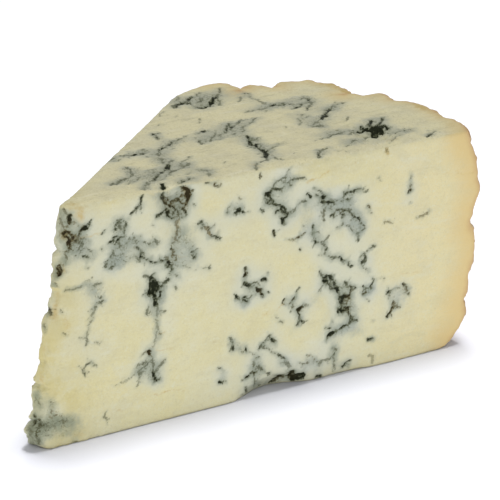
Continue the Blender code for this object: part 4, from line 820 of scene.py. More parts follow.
# Layers of colour, each over the last: the noise that it follows, where it starts and where it is
# full, how strong it is, and its colour. One that starts above its full end follows the noise's lows
CUT_GROUND = (
    ("broad", 0.38, 0.66, 1.00, PASTE_WARM),
    ("patchy", 0.50, 0.80, 0.60, PASTE_PALE),
)
CUT_LAYERS = (
    ("patchy", 0.56, 0.28, 0.30, PASTE_SHADE),
    ("streaky", 0.52, 0.72, 0.40, PASTE_WHITE),
    ("streaky", 0.50, 0.30, 0.26, PASTE_SHADE),
    ("grain", 0.54, 0.76, 0.56, PASTE_WHITE),
    ("grain", 0.46, 0.28, 0.40, PASTE_SHADE),
    ("fine", 0.52, 0.72, 0.40, PASTE_WHITE),
    ("fine", 0.48, 0.28, 0.30, PASTE_SHADE),
)
TOP_LAYERS = (
    ("patchy", 0.35, 0.75, 1.00, TOP_DULL),
    ("streaky", 0.54, 0.72, 0.55, TOP_LIGHT),
    ("streaky", 0.46, 0.30, 0.45, TOP_SHADE),
    ("grain", 0.56, 0.76, 0.62, TOP_LIGHT),
    ("grain", 0.44, 0.30, 0.46, TOP_SHADE),
    ("fine", 0.52, 0.72, 0.46, TOP_LIGHT),
    ("fine", 0.48, 0.28, 0.34, TOP_SHADE),
)
RIND_LAYERS = (
    ("patchy", 0.35, 0.70, 1.00, RIND_ORANGE),
    ("broad", 0.56, 0.32, 0.50, RIND_GREY),
    ("clots", 0.50, 0.75, 0.70, RIND_GREY),
    ("clots", 0.46, 0.28, 0.45, RIND_DARK),
    ("patchy", 0.44, 0.26, 0.35, RIND_DARK),
    ("grain", 0.58, 0.80, 0.50, RIND_DARK),
)
# The golden, pale, sunny and yellow places: how they follow the noises, and how strong they are
GOLD_EDGE, GOLD_STRENGTH = (0.25, 0.65), 0.8
PALE_LEAST, PALE_MORE = 0.4, 0.8
SUNNY_LEAST, SUNNY_MORE = 0.5, 0.8
YELLOW_EDGE, YELLOW_STRENGTH = (0.3, 0.65), 0.7
# The tan near the rind and its orange edge: how far the noises sway them, how much less tan the top
# has, where they start and are full, and how strong they are
TAN_SWAYS, TAN_LESS_ON_TOP, TAN_EDGE, TAN_STRENGTH = (0.35, 0.25), 0.25, (0.15, 0.95), 0.9
ORANGE_SWAY, ORANGE_EDGE, ORANGE_STRENGTH = 0.20, (0.82, 1.02), 0.85
# The pale veil and the grey bloom round the veins: how far the noises sway them, where they start
# and are full, how strong they are on the cuts, and how much less on the top
VEIL_SWAY, VEIL_EDGE, VEIL_ON_CUTS, VEIL_LESS_ON_TOP = 0.4, (0.05, 0.80), 0.8, 0.3
COOL_EDGE, COOL_VEIL = (0.3, 0.7), 0.3
BLOOM_SWAYS, BLOOM_EDGE = (0.50, 0.60, 0.7), (0.20, 1.10)
BLOOM_ON_CUTS, BLOOM_LESS_ON_TOP, TIP_HAZE = 0.92, 0.12, 0.8
# The lace of thin loops and strands in the mould, and the chance that breaks the mould up: what it
# is made of, how widely it spreads, and how the top's smears draw it out
LOOP_SHARPNESS, STRAND_SHARPNESS = 10.0, 13.0
CHANCE_PARTS, CHANCE_SPREAD, CHANCE_STREAKS = (0.44, 0.34, 0.22), 7.2, -3.0
# Ochre stains, with the painted shade in the crease and at the cavity's rims, and how olive the mould is
# beside them and at the tip
STAIN_REACH, STAIN_START, STAIN_SWAY, STAIN_STRENGTH = 1.3, 0.25, 0.20, 0.88
OLIVE_BY_OCHRE, OLIVE_AT_TIP, OLIVE_EDGE = 0.6, 0.35, (0.10, 0.8)
OLIVE_IN_GREY, OLIVE_IN_BLACK = 0.75, 0.6
# Specks in the bloom, and the smoke round a vein's core
SPECK_BLOOM, SPECK_START, SPECK_LACE, SPECK_SWAY = 1.8, 2.65, 1.5, 0.9
SPECK_EDGE, SPECK_STRENGTH = (-0.3, 0.9), 0.5
SMOKE_EDGE, SMOKE_LEAST, SMOKE_SWAY, SMOKE_STRENGTH = (0.0, 0.55), 0.55, 1.4, 0.80
# The odds of mould by how near a vein is, how dark it is and by the lace, and against it in clear
# paste; then the grey body and the black heart that these odds make
VEIN_LEVEL, VEIN_ODDS, DARK_ODDS, MOST_ODDS, LACE_ODDS = 0.46, 4.2, 0.9, 0.70, 0.7
CLEAR_EDGE, CLEAR_ODDS = (0.0, 0.3), 2.0
BODY_EDGE, BODY_LEAST, BODY_MORE = (-0.50, 0.30), 0.30, 0.60
HEART_ODDS, HEART_EDGE, HEART_STRENGTH = 1.6, (-0.05, 0.80), 0.97
# Roughness of the paste, less of it in mould and more on the rind; the fine bump; the shine
PASTE_ROUGHNESS, MOULD_SMOOTHER, RIND_ROUGHER, ROUGHNESS_SWAY = 0.62, 0.14, 0.2, 0.16
BUMP_FINE, BUMP_GRAIN, BUMP_MOULD, BUMP_RIND = 0.5, 0.5, 1.2, 1.5
BUMP_DISTANCE, BUMP_STRENGTH = 0.00016, 0.60
SHINE = 0.12


class CheeseWedgeSettings(bpy.types.PropertyGroup):
    """Sizes and colours of the wedge's surface."""

    mesh_spacing: bpy.props.FloatProperty(
        name="Mesh spacing",
        description="Distance between points before the seen faces are divided once more",
        default=0.00078,
        min=0.0003,
        unit="LENGTH",
    )
    pit_depth: bpy.props.FloatProperty(
        name="Pit depth",
        description="How far the dark veins lie under the surface",
        default=0.00045,
        unit="LENGTH",
    )
    crumb_depth: bpy.props.FloatProperty(
        name="Crumb depth",
        description="Height of the crumbs in the broken places",
        default=0.0009,
        unit="LENGTH",
    )
    crumb_spacing: bpy.props.FloatProperty(
        name="Crumb spacing",
        description="Distance between the crumbs in the broken places",
        default=0.0019,
        unit="LENGTH",
    )
    crag_depth: bpy.props.FloatProperty(
        name="Crag depth",
        description="Height of the rind's crags",
        default=0.0011,
        unit="LENGTH",
    )
    crag_spacing: bpy.props.FloatProperty(
        name="Crag spacing",
        description="Distance between the rind's crags",
        default=0.0042,
        unit="LENGTH",
    )
    smear_depth: bpy.props.FloatProperty(
        name="Smear depth",
        description="Height of the ridges that the wire left on the top",
        default=0.00055,
        unit="LENGTH",
    )
    smear_spacing: bpy.props.FloatProperty(
        name="Smear spacing",
        description="Distance between the ridges that the wire left on the top",
        default=0.0021,
        unit="LENGTH",
    )
    paste_depth: bpy.props.FloatProperty(
        name="Paste depth",
        description="Height of the smooth cuts' own fine unevenness",
        default=0.00010,
        unit="LENGTH",
    )
    seed: bpy.props.IntProperty(
        name="Seed",
        description="Choice of the random unevenness",
        default=7,
    )
    paste_colour: bpy.props.FloatVectorProperty(
        name="Paste colour",
        description="Colour of the paste on the cuts",
        default=PASTE,
        size=3,
        min=0.0,
        max=1.0,
        subtype="COLOR",
    )
    top_colour: bpy.props.FloatVectorProperty(
        name="Top colour",
        description="Colour of the paste on the top",
        default=TOP_PASTE,
        size=3,
        min=0.0,
        max=1.0,
        subtype="COLOR",
    )
    mould_colour: bpy.props.FloatVectorProperty(
        name="Mould colour",
        description="Colour of the darkest veins",
        default=MOULD_BLACK,
        size=3,
        min=0.0,
        max=1.0,
        subtype="COLOR",
    )
    rind_colour: bpy.props.FloatVectorProperty(
        name="Rind colour",
        description="Main colour of the rind",
        default=RIND_BROWN,
        size=3,
        min=0.0,
        max=1.0,
        subtype="COLOR",
    )


class CheeseStageSettings(bpy.types.PropertyGroup):
    """Floor, light and camera."""

    floor_size: bpy.props.FloatProperty(
        name="Floor size",
        description="Side of the square floor",
        default=6.0,
        unit="LENGTH",
    )
    floor_colour: bpy.props.FloatVectorProperty(
        name="Floor colour",
        description="Colour of the floor",
        default=(0.56, 0.565, 0.605),
        size=3,
        min=0.0,
        max=1.0,
        subtype="COLOR",
    )
    sky: bpy.props.FloatProperty(
        name="Surround",
        description="Strength of the even light from all sides",
        default=0.645,
    )
    key: bpy.props.FloatProperty(
        name="Key light",
        description="Power of the large soft light",
        default=2.6,
        subtype="POWER",
    )
    table: bpy.props.FloatProperty(
        name="Table light",
        description="Power of the soft light that falls on the floor alone",
        default=13.6,
        subtype="POWER",
    )
    lens: bpy.props.FloatProperty(
        name="Lens",
        description="Focal length of the camera, in millimetres",
        default=135.589,
        unit="CAMERA",
    )


class Wire:
    """An output socket of a node. Arithmetic on it adds Math nodes to its tree."""

    def __init__(self, graph, socket):
        self.graph = graph
        self.socket = socket

    def math(self, operation, *values):
        return self.graph.math(operation, self, *values)

    def __add__(self, other):
        return self.math("ADD", other)

    def __radd__(self, other):
        return self.graph.math("ADD", other, self)

    def __sub__(self, other):
        return self.math("SUBTRACT", other)

    def __rsub__(self, other):
        return self.graph.math("SUBTRACT", other, self)

    def __mul__(self, other):
        return self.math("MULTIPLY", other)

    def __rmul__(self, other):
        return self.graph.math("MULTIPLY", other, self)

    def __truediv__(self, other):
        return self.math("DIVIDE", other)

    def __rtruediv__(self, other):
        return self.graph.math("DIVIDE", other, self)

    def most(self, other):
        return self.math("MAXIMUM", other)

    def least(self, other):
        return self.math("MINIMUM", other)

    def step(self, low, high):
        """0 below low, 1 above high, smooth between them."""
        return self.graph.node(
            "ShaderNodeMapRange",
            {"interpolation_type": "SMOOTHSTEP", "clamp": True},
            {"Value": self, "From Min": low, "From Max": high},
        )


class Graph:
    """A node tree that nodes are added to by type, settings and inputs."""

    def __init__(self, tree):
        self.tree = tree

    def node(self, kind, settings=None, inputs=None, output=0):
        """A new node's output, after its settings are made and its inputs linked or set."""
        made = self.tree.nodes.new(kind)
        for name, value in (settings or {}).items():
            setattr(made, name, value)
        for name, value in (inputs or {}).items():
            if isinstance(value, Wire):
                self.tree.links.new(value.socket, made.inputs[name])
            else:
                made.inputs[name].default_value = value
        return Wire(self, made.outputs[output])

    def math(self, operation, *values):
        return self.node("ShaderNodeMath", {"operation": operation}, dict(enumerate(values)))

    def vector(self, operation, inputs):
        return self.node("ShaderNodeVectorMath", {"operation": operation}, inputs)

    def blend(self, factor, first, second):
        """Colour that goes from the first to the second as the factor goes from 0 to 1."""
        colours = [c if isinstance(c, Wire) else (*c, 1.0) for c in (first, second)]
        settings = {"data_type": "RGBA", "clamp_factor": True}
        return self.node("ShaderNodeMix", settings, {0: factor, 6: colours[0], 7: colours[1]}, 2)

    def noise(self, place, spacing, detail, roughness, draw, lumpy=0.0):
        """Unevenness from 0 to 1, with about this distance between its swells."""
        inputs = {
            "Vector": place, "W": draw, "Scale": 1 / spacing,
            "Detail": detail, "Roughness": roughness, "Distortion": lumpy,
        }
        return self.node("ShaderNodeTexNoise", {"noise_dimensions": "4D"}, inputs)


def strokes_from(rows):
    """The strokes of a table as dark, width and an array of points, in mm."""
    return [(dark, width, np.array(flat, float).reshape(-1, 2)) for dark, width, flat in rows]


def stamped(group, middle, degrees, hand):
    """A group's strokes turned, flipped where the hand is -1, and moved to another middle."""
    strokes = strokes_from(NEAR_VEINS[group])
    centre = np.concatenate([path for _, _, path in strokes]).mean(0)
    turn = math.radians(degrees)
    matrix = np.array([[math.cos(turn), -math.sin(turn)], [math.sin(turn), math.cos(turn)]])
    mirror = np.array([hand, 1])
    return [
        (dark, width, (path - centre) * mirror @ matrix.T + np.array(middle))
        for dark, width, path in strokes
    ]


def sprouted(strokes, seed):
    """The strokes with short thin twigs that branch off them, as mould grows in its cracks."""
    rng = random.Random(seed)
    twigs = []
    for ink, width, path in strokes:
        for start, end in zip(path[:-1], path[1:]):
            run = end - start
            length = float(np.hypot(*run))
            heading = math.atan2(run[1], run[0])
            along = rng.uniform(0.0, TWIG_GAP)
            while along < length:
                root = start + run * (along / length)
                side = rng.choice((-1, 1))
                turn = heading + side * rng.uniform(*TWIG_TURN)
                bend = turn + rng.uniform(*TWIG_BEND)
                reach = width / 2 + TWIG_LENGTH * rng.uniform(*TWIG_LENGTH_SPREAD) * (0.5 + 0.5 * ink)
                knee = root + reach / 2 * np.array([math.cos(turn), math.sin(turn)])
                tip = knee + reach / 2 * np.array([math.cos(bend), math.sin(bend)])
                pale = ink * rng.uniform(*TWIG_INK_SPREAD)
                twigs.append((pale, TWIG_WIDTH, np.array([root, knee, tip])))
                along += TWIG_GAP * rng.uniform(*TWIG_GAP_SPREAD)
    return strokes + twigs


def distance_to(points, path):
    """Distance of each point to a path of straight pieces."""
    best = np.full(len(points), np.inf)
    for start, end in zip(path[:-1], path[1:]):
        run = end - start
        square = max(float(run @ run), LEAST_SQUARE)
        share = np.clip((points - start) @ run / square, 0, 1)
        gap = points - start - share[:, None] * run
        best = np.minimum(best, np.hypot(gap[:, 0], gap[:, 1]))
    return best


def near_path(points, path, margin):
    """Which points lie in the path's box, widened by a margin."""
    low = path.min(0) - margin
    high = path.max(0) + margin
    return np.where(((points > low) & (points < high)).all(1))[0]


def marbled(points, strokes, branched, core_share):
    """Fields of a face: vein and dark from its branched strokes, bloom and veil from the plain."""
    count = len(points)
    vein = np.zeros(count)
    dark = np.zeros(count)
    clear_bloom = np.ones(count)
    clear_veil = np.ones(count)
    for ink, width, path in branched:
        chosen = near_path(points, path, width / 2 + EDGE_REACH)
        beyond = distance_to(points[chosen], path) - core_share * width / 2
        edge = np.clip(0.5 - beyond / (2 * EDGE_REACH), 0, 1)
        stronger = edge > vein[chosen]
        vein[chosen] = np.where(stronger, edge, vein[chosen])
        dark[chosen] = np.where(stronger, ink, dark[chosen])
    for ink, width, path in strokes:
        chosen = near_path(points, path, VEIL_MARGIN * VEIL_REACH)
        away = np.maximum(distance_to(points[chosen], path) - width / 2, 0)
        clear_bloom[chosen] *= 1 - BLOOM_STRENGTH * ink * np.exp(-((away / BLOOM_REACH) ** 2))
        clear_veil[chosen] *= 1 - VEIL_STRENGTH * ink * np.exp(-((away / VEIL_REACH) ** 2))
    return vein, dark, 1 - clear_bloom, 1 - clear_veil


def spotted(points, spots):
    """Field of soft oval spots at points of one face."""
    clear = np.ones(len(points))
    for u, v, half_u, half_v, strength in spots:
        away = np.hypot((points[:, 0] - u) / half_u, (points[:, 1] - v) / half_v)
        clear *= 1 - strength * np.exp(-(away ** 2) * SPOT_FALL)
    return 1 - clear


def threaded(points, strokes):
    """Field of thin soft threads at points of one face."""
    clear = np.ones(len(points))
    for strength, width, path in strokes_from(strokes):
        beyond = np.maximum(distance_to(points, path) - width / 2, 0)
        clear *= 1 - strength * np.exp(-((beyond / OCHRE_REACH) ** 2))
    return 1 - clear


def smooth_step(values, low, high):
    """0 below low, 1 above high, smooth between them."""
    share = np.clip((values - low) / (high - low), 0, 1)
    return share * share * (3 - 2 * share)


def fading(values, low, high):
    """1 below low, 0 above high, smooth between them."""
    return smooth_step(-values, -high, -low)


def face_shares(places, normals):
    """How much each point belongs to the near cut, top, far cut, base, rind and tip.

    A point belongs to the face that it lies closest to and faces most, so the walls of a hole
    belong to the face that the hole is in.
    """
    facing = {
        "near": np.array([0, -1, 0]),
        "top": np.array([0, 0, 1]),
        "far": np.array([-math.sin(WEDGE_ANGLE), math.cos(WEDGE_ANGLE), 0]),
        "base": np.array([0, 0, -1]),
    }
    level = {"near": 0, "top": HEIGHT, "far": 0, "base": 0}
    scores = {}
    for side, outward in facing.items():
        depth = np.maximum(level[side] - places @ outward, 0) / MM
        scores[side] = np.exp(FACE_SHARPNESS * (FACING_WEIGHT * (normals @ outward) - depth / DEPTH_FADE))
    total = sum(scores.values())
    across, away, height = places.T / MM
    radius = np.hypot(across, away)
    outward = (across * normals[:, 0] + away * normals[:, 1]) / np.maximum(radius, LEAST_RADIUS)
    rind = smooth_step(outward, *RIND_FACING) * smooth_step(radius, *RIND_RADII)
    low = fading(height, *LEDGE_HEIGHTS)
    raised = smooth_step(height, *BASE_HEIGHTS)
    seen = normals[:, :2] @ np.array(TIP_SIGHT[:2]) + normals[:, 2] * TIP_SIGHT[2] * low
    tip = smooth_step(seen, *TIP_FACING) * fading(radius, *TIP_RADII)
    foot = fading(height, *TIP_FOOT_HEIGHTS) * fading(radius, *TIP_FOOT_RADII)
    tip = np.maximum(tip, foot)
    shares = {side: score / total * (1 - rind) for side, score in scores.items()}
    near = shares["near"] + shares["base"] * raised + shares["top"] * low
    shares["near"] = np.maximum(near, tip)
    shares["base"] = shares["base"] * (1 - raised)
    shares["top"] = shares["top"] * (1 - low)
    shares["far"] = shares["far"] * (1 - tip)
    shares.update(rind=rind, tip=tip)
    return shares


def face_points(places):
    """The points' places in mm on each face's own two axes.

    The near cut and the top are marked as they are seen from the camera, so a point that lies
    deeper than the face's plane is first moved to the plane along its line of sight.
    """
    sight = np.array(CAMERA_PLACE) - np.array([AXIS.x, AXIS.y, 0]) - places
    to_near = places - sight * (places[:, 1] / sight[:, 1])[:, None]
    to_top = places + sight * ((HEIGHT - places[:, 2]) / sight[:, 2])[:, None]
    along_far = places[:, 0] * math.cos(WEDGE_ANGLE) + places[:, 1] * math.sin(WEDGE_ANGLE)
    return {
        "near": to_near[:, [0, 2]] / MM,
        "top": to_top[:, :2] / MM,
        "far": np.stack([along_far, places[:, 2]], 1) / MM,
        "base": places[:, :2] / MM,
    }


def wandered(places):
    """The places moved about a little, so that straight strokes come out winding."""
    noise.seed_set(WANDER_SEED)
    moved = places.copy()
    for spacing, reach, shift in VEIN_WANDER:
        moved += reach * np.array(
            [noise.noise_vector(Vector(place) / spacing + Vector((shift,) * 3)) for place in places]
        )
    return moved


def distance_from(places, targets):
    """Distance of each place to the nearest of the targets."""
    tree = KDTree(len(targets))
    for index, target in enumerate(targets):
        tree.insert(target, index)
    tree.balance()
    return np.array([tree.find(place)[2] for place in places])


def surface_fields(places, normals):
    """All the fields that the relief and the material read, by attribute name."""
    shares = face_shares(places, normals)
    flat = face_points(wandered(places))
    strokes = {
        "near": [s for group in NEAR_VEINS.values() for s in strokes_from(group)],
        "top": [s for group in TOP_VEINS.values() for s in strokes_from(group)],
        "far": [],
        "base": [],
    }
    for side, group, u, v, degrees, hand in HIDDEN_STAMPS:
        strokes[side] += stamped(group, (u, v), degrees, hand)
    fields = {name: np.zeros(len(places)) for name in ("vein", "dark", "bloom", "veil")}
    for side, rows in strokes.items():
        branched = sprouted(rows, TWIG_SEEDS[side])
        vein, dark, bloom, veil = marbled(flat[side], rows, branched, CORE_SHARES[side])
        share = shares[side]
        ahead = vein * share > fields["vein"]
        fields["dark"] = np.where(ahead, dark ** INK_POWERS[side], fields["dark"])
        for name, values in (("vein", vein), ("bloom", bloom), ("veil", veil)):
            fields[name] = np.maximum(fields[name], values * share)

    def spots(near_rows, top_rows):
        """The field of the near cut's spots, and the field of the top's."""
        near = spotted(flat["near"], near_rows) * shares["near"]
        return near, spotted(flat["top"], top_rows) * shares["top"]

    near_bloom, top_bloom = spots(NEAR_BLOOM, TOP_BLOOM)
    fields["bloom"] = 1 - (1 - fields["bloom"]) * (1 - near_bloom) * (1 - top_bloom)
    # Ochre threads and stains, with painted shade in the crease under the top edge and at the cavity's
    # rims
    threads_and_crease_shade = threaded(flat["near"], NEAR_OCHRE_AND_CREASE_SHADE) * shares["near"]
    fields["ochre"] = np.maximum(threads_and_crease_shade, np.maximum(*spots(NEAR_STAINS_AND_RIM_SHADE, TOP_STAINS)))
    crumbly = np.maximum(*spots(NEAR_CRUMBLY, TOP_CRUMBLY))
    fields["crumbly"] = np.maximum(crumbly, TIP_CRUMBLY * shares["tip"])
    for name, rows in NEAR_SPOTS.items():
        fields[name] = spotted(flat["near"], rows) * shares["near"]
    along = flat["near"][:, 0]
    fields["sunny"] = smooth_step(along, SUNNY_FROM, SUNNY_TO) * shares["near"]
    fields["tip"] = fading(along, *TIP_TINTS)
    fields.update((name, shares[name]) for name in ("top", "rind", "base"))
    to_rind = distance_from(places, places[shares["rind"] > 0.5])
    fields["ripe"] = np.clip(1 - to_rind / RIPE_REACH, 0, 1)
    return fields


def linked(name, data):
    """A new object in the scene."""
    made = bpy.data.objects.new(name, data)
    bpy.context.scene.collection.objects.link(made)
    return made


def mesh_from(obj):
    """The object's evaluated mesh as a plain mesh of its own."""
    depsgraph = bpy.context.evaluated_depsgraph_get()
    evaluated = obj.evaluated_get(depsgraph)
    return bpy.data.meshes.new_from_object(
        evaluated, preserve_all_data_layers=True, depsgraph=depsgraph
    )


def settle(obj):
    """Replaces the object's mesh by the evaluated one and removes its modifiers."""
    made = mesh_from(obj)
    obj.modifiers.clear()
    old = obj.data
    obj.data = made
    bpy.data.meshes.remove(old)


def merged_copy(name, node):
    """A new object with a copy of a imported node's mesh, its loose triangles joined."""
    body = bmesh.new()
    body.from_mesh(node.data)
    bmesh.ops.remove_doubles(body, verts=body.verts, dist=JOIN_DISTANCE)
    bmesh.ops.recalc_face_normals(body, faces=body.faces)
    mesh = bpy.data.meshes.new(name)
    body.to_mesh(mesh)
    body.free()
    return linked(name, mesh)


def evenly_meshed(obj, spacing):
    """Gives the object an even mesh, a little smoothed."""
    remesh = obj.modifiers.new("even", "REMESH")
    remesh.mode = "VOXEL"
    remesh.voxel_size = spacing
    remesh.use_smooth_shade = True
    smooth = obj.modifiers.new("smooth", "SMOOTH")
    smooth.factor = SMOOTH_FACTOR
    smooth.iterations = SMOOTH_ROUNDS
    settle(obj)


def finer_where_seen(obj):
    """Divides the faces of the near cut and the top once, because the veins are finest there."""
    body = bmesh.new()
    body.from_mesh(obj.data)
    body.normal_update()
    chosen = [
        face for face in body.faces
        if -face.normal.y > FINE_NEAR_FACING or face.normal.z > FINE_TOP_FACING
    ]
    edges = list(dict.fromkeys(edge for face in chosen for edge in face.edges))
    bmesh.ops.subdivide_edges(body, edges=edges, cuts=1, use_grid_fill=True)
    body.to_mesh(obj.data)
    body.free()


def read_vectors(values, count, name):
    """The named vector of each item, as rows of three numbers."""
    flat = np.zeros(count * 3, np.float32)
    values.foreach_get(name, flat)
    return flat.reshape(-1, 3).astype(float)


def bell(distance):
    """1 at no distance, fading softly to 0 beyond about two."""
    return math.exp(-distance * distance)


def nick_rind(obj):
    """Moves the rind in and out at the nicks of its upper rim and the swells of its near edge."""
    for vertex in obj.data.vertices:
        x, y = vertex.co.x - AXIS.x, vertex.co.y - AXIS.y
        radius = math.hypot(x, y)
        if radius < RIND_ZONE:
            continue
        below = max((HEIGHT - vertex.co.z - RIM_NICK_TOP) / RIM_NICK_DEPTH, 0)
        for u, v, half, right, back in RIM_NICKS:
            reach = math.hypot(u, v)
            past = ((x - u * MM) * u + (y - v * MM) * v) / reach
            aside = ((y - v * MM) * u - (x - u * MM) * v) / reach
            share = bell(aside / (half * MM)) * bell(min(past, 0) / (2 * half * MM)) * bell(below)
            vertex.co.x += right * MM * share
            vertex.co.y += back * MM * share
        height = vertex.co.z / MM
        swell = sum(move * bell((height - middle) / half) for middle, half, move in RIND_SWELLS)
        edge = bell(y / RIND_SWELL_DEPTH) * min((radius - RIND_ZONE) / RIND_ZONE_FADE, 1)
        vertex.co.x += swell * MM * edge * x / radius
        vertex.co.y += swell * MM * edge * y / radius


def shape_tip(obj):
    """Moves the crumbled tip in and out at each height, most at its very edge."""
    xs = np.array([vertex.co.x - AXIS.x for vertex in obj.data.vertices])
    zs = np.array([vertex.co.z for vertex in obj.data.vertices])
    levels = np.round(zs / MM).astype(int)
    rims = {level: xs[levels == level].min() for level in np.unique(levels)}
    heights, moves = zip(*TIP_MOVES)
    for vertex, x, z, level in zip(obj.data.vertices, xs, zs, levels):
        inward = x - rims[level]
        if inward < TIP_MOVE_END:
            move = float(np.interp(z / MM, heights, moves)) * MM
            vertex.co.x += move * bell(inward / TIP_MOVE_REACH)


def round_top_edge(obj):
    """Rounds the edge between the near cut and the top, more towards the rind."""
    for vertex in obj.data.vertices:
        x, y, z = vertex.co
        share = min(max((x - AXIS.x - TOP_EDGE_FROM) / (TOP_EDGE_TO - TOP_EDGE_FROM), 0), 1)
        radius = TOP_EDGE_ROUND_LOW + (TOP_EDGE_ROUND_HIGH - TOP_EDGE_ROUND_LOW) * share
        across = radius - (y - AXIS.y)
        below = radius - (HEIGHT - z)
        out = math.hypot(across, below)
        if across > 0 and below > 0 and out > radius and x > AXIS.x + TOP_EDGE_START:
            vertex.co.y += across * (1 - radius / out)
            vertex.co.z -= below * (1 - radius / out)


def mark_surface(obj):
    """Stores the fields of the marbling, rind and crumbs on the object's points."""
    mesh = obj.data
    count = len(mesh.vertices)
    places = read_vectors(mesh.vertices, count, "co") - np.array([AXIS.x, AXIS.y, 0])
    normals = read_vectors(mesh.vertex_normals, count, "vector")
    for name, values in surface_fields(places, normals).items():
        layer = mesh.attributes.new(name, "FLOAT", "POINT")
        layer.data.foreach_set("value", values.astype(np.float32))


def drawn_out(graph, place):
    """Places from which a noise comes out drawn along the top's smears."""
    turned = graph.node(
        "ShaderNodeVectorRotate", {"rotation_type": "Z_AXIS"}, {"Vector": place, "Angle": -SMEAR_TURN}
    )
    return graph.vector("MULTIPLY", {0: turned, 1: SMEAR_STRETCH})


def relief_tree(material):
    """Geometry nodes that raise and sink the surface by the fields stored on it."""
    tree = bpy.data.node_groups.new("cheese_relief", "GeometryNodeTree")
    face = tree.interface
    face.new_socket("Geometry", in_out="INPUT", socket_type="NodeSocketGeometry")
    for name in RELIEF_INPUTS:
        face.new_socket(name, in_out="INPUT", socket_type="NodeSocketFloat")
    face.new_socket("Geometry", in_out="OUTPUT", socket_type="NodeSocketGeometry")
    graph = Graph(tree)
    start = tree.nodes.new("NodeGroupInput")
    end = tree.nodes.new("NodeGroupOutput")
    given = {s.name: Wire(graph, s) for s in start.outputs if s.name}

    def stored(name):
        """A field that is stored on the points."""
        kind = "GeometryNodeInputNamedAttribute"
        return graph.node(kind, {"data_type": "FLOAT"}, {"Name": name})

    place = graph.node("GeometryNodeInputPosition")
    normal = graph.node("GeometryNodeInputNormal")
    seed = given["Seed"]
    crumbly = stored("crumbly")
    rind = stored("rind")
    top = stored("top")
    cut = 1 - rind.most(stored("base"))

    def bumps(name, spacing, at=place):
        """A noise of the table, from -1 to 1."""
        detail, roughness, draw = RELIEF_NOISES[name]
        return (graph.noise(at, spacing, detail, roughness, seed + draw) - 0.5) * 2.0

    crumbs = bumps("crumbs", given["Crumb spacing"]) * crumbly * given["Crumb depth"]
    cracks = bumps("cracks", given["Crag spacing"] * CRACK_STRETCH).math("ABSOLUTE")
    crack = 1 - cracks.step(0.0, CRACK_WIDTH)
    crags = bumps("crags", given["Crag spacing"]) - crack * CRACK_DEPTH
    smears = bumps("smears", given["Smear spacing"], drawn_out(graph, place))
    paste = bumps("swells", SWELL_SPACING) + bumps("ripples", RIPPLE_SPACING) * RIPPLE_SHARE
    mealy = bumps("mealy", MEALY_SPACING) * stored("bloom") * given["Crumb depth"] * MEALY_SHARE
    edge = stored("vein") + bumps("ragged", RAGGED_SPACING) * RAGGED_SHARE
    pits = edge.step(*PIT_EDGE) * stored("dark") * given["Pit depth"]
    height = crumbs + crags * rind * given["Crag depth"] + smears * top * given["Smear depth"]
    height = height + paste * cut * given["Paste depth"] + mealy - pits
    height = height * (1 - stored("base"))
    offset = graph.vector("SCALE", {0: normal, "Scale": height})
    raised = graph.node(
        "GeometryNodeSetPosition", None, {"Geometry": given["Geometry"], "Offset": offset}
    )
    real = graph.node("GeometryNodeRealizeInstances", None, {"Geometry": raised})
    dressed = graph.node("GeometryNodeSetMaterial", None, {"Geometry": real, "Material": material})
    tree.links.new(dressed.socket, end.inputs[0])
    return tree


def add_relief(obj, material, settings):
    """Runs the relief's nodes on the object and keeps their result."""
    tree = relief_tree(material)
    modifier = obj.modifiers.new("relief", "NODES")
    modifier.node_group = tree
    for item in tree.interface.items_tree:
        if item.in_out == "INPUT" and item.name in RELIEF_INPUTS:
            modifier[item.identifier] = float(getattr(settings, RELIEF_INPUTS[item.name]))
    settle(obj)


def clear_of_floor(mesh):
    """Presses the foot down to a crisp edge and keeps every point on or above the floor."""
    for vertex in mesh.vertices:
        pressed = FOOT_PRESS * max(1 - vertex.co.z / FOOT_HEIGHT, 0)
        vertex.co.z = max(vertex.co.z - pressed, 0.0)


def looks_of(graph):
    """The noises and the stored fields that the material reads, by name."""
    place = graph.node("ShaderNodeTexCoord", None, None, "Object")
    smeared = drawn_out(graph, place)
    look = SimpleNamespace()
    for name, values in MATERIAL_NOISES.items():
        setattr(look, name, graph.noise(smeared if name == "streaky" else place, *values))
    for name in MATERIAL_FIELDS:
        setattr(look, name, graph.node("ShaderNodeAttribute", {"attribute_name": name}, None, "Fac"))
    return look


def layered(graph, look, colour, layers):
    """The colour with each layer of a table over it."""
    for name, start, full, strength, over in layers:
        share = getattr(look, name).step(min(start, full), max(start, full))
        if start > full:
            share = 1 - share
        colour = graph.blend(share * strength, colour, over)
    return colour


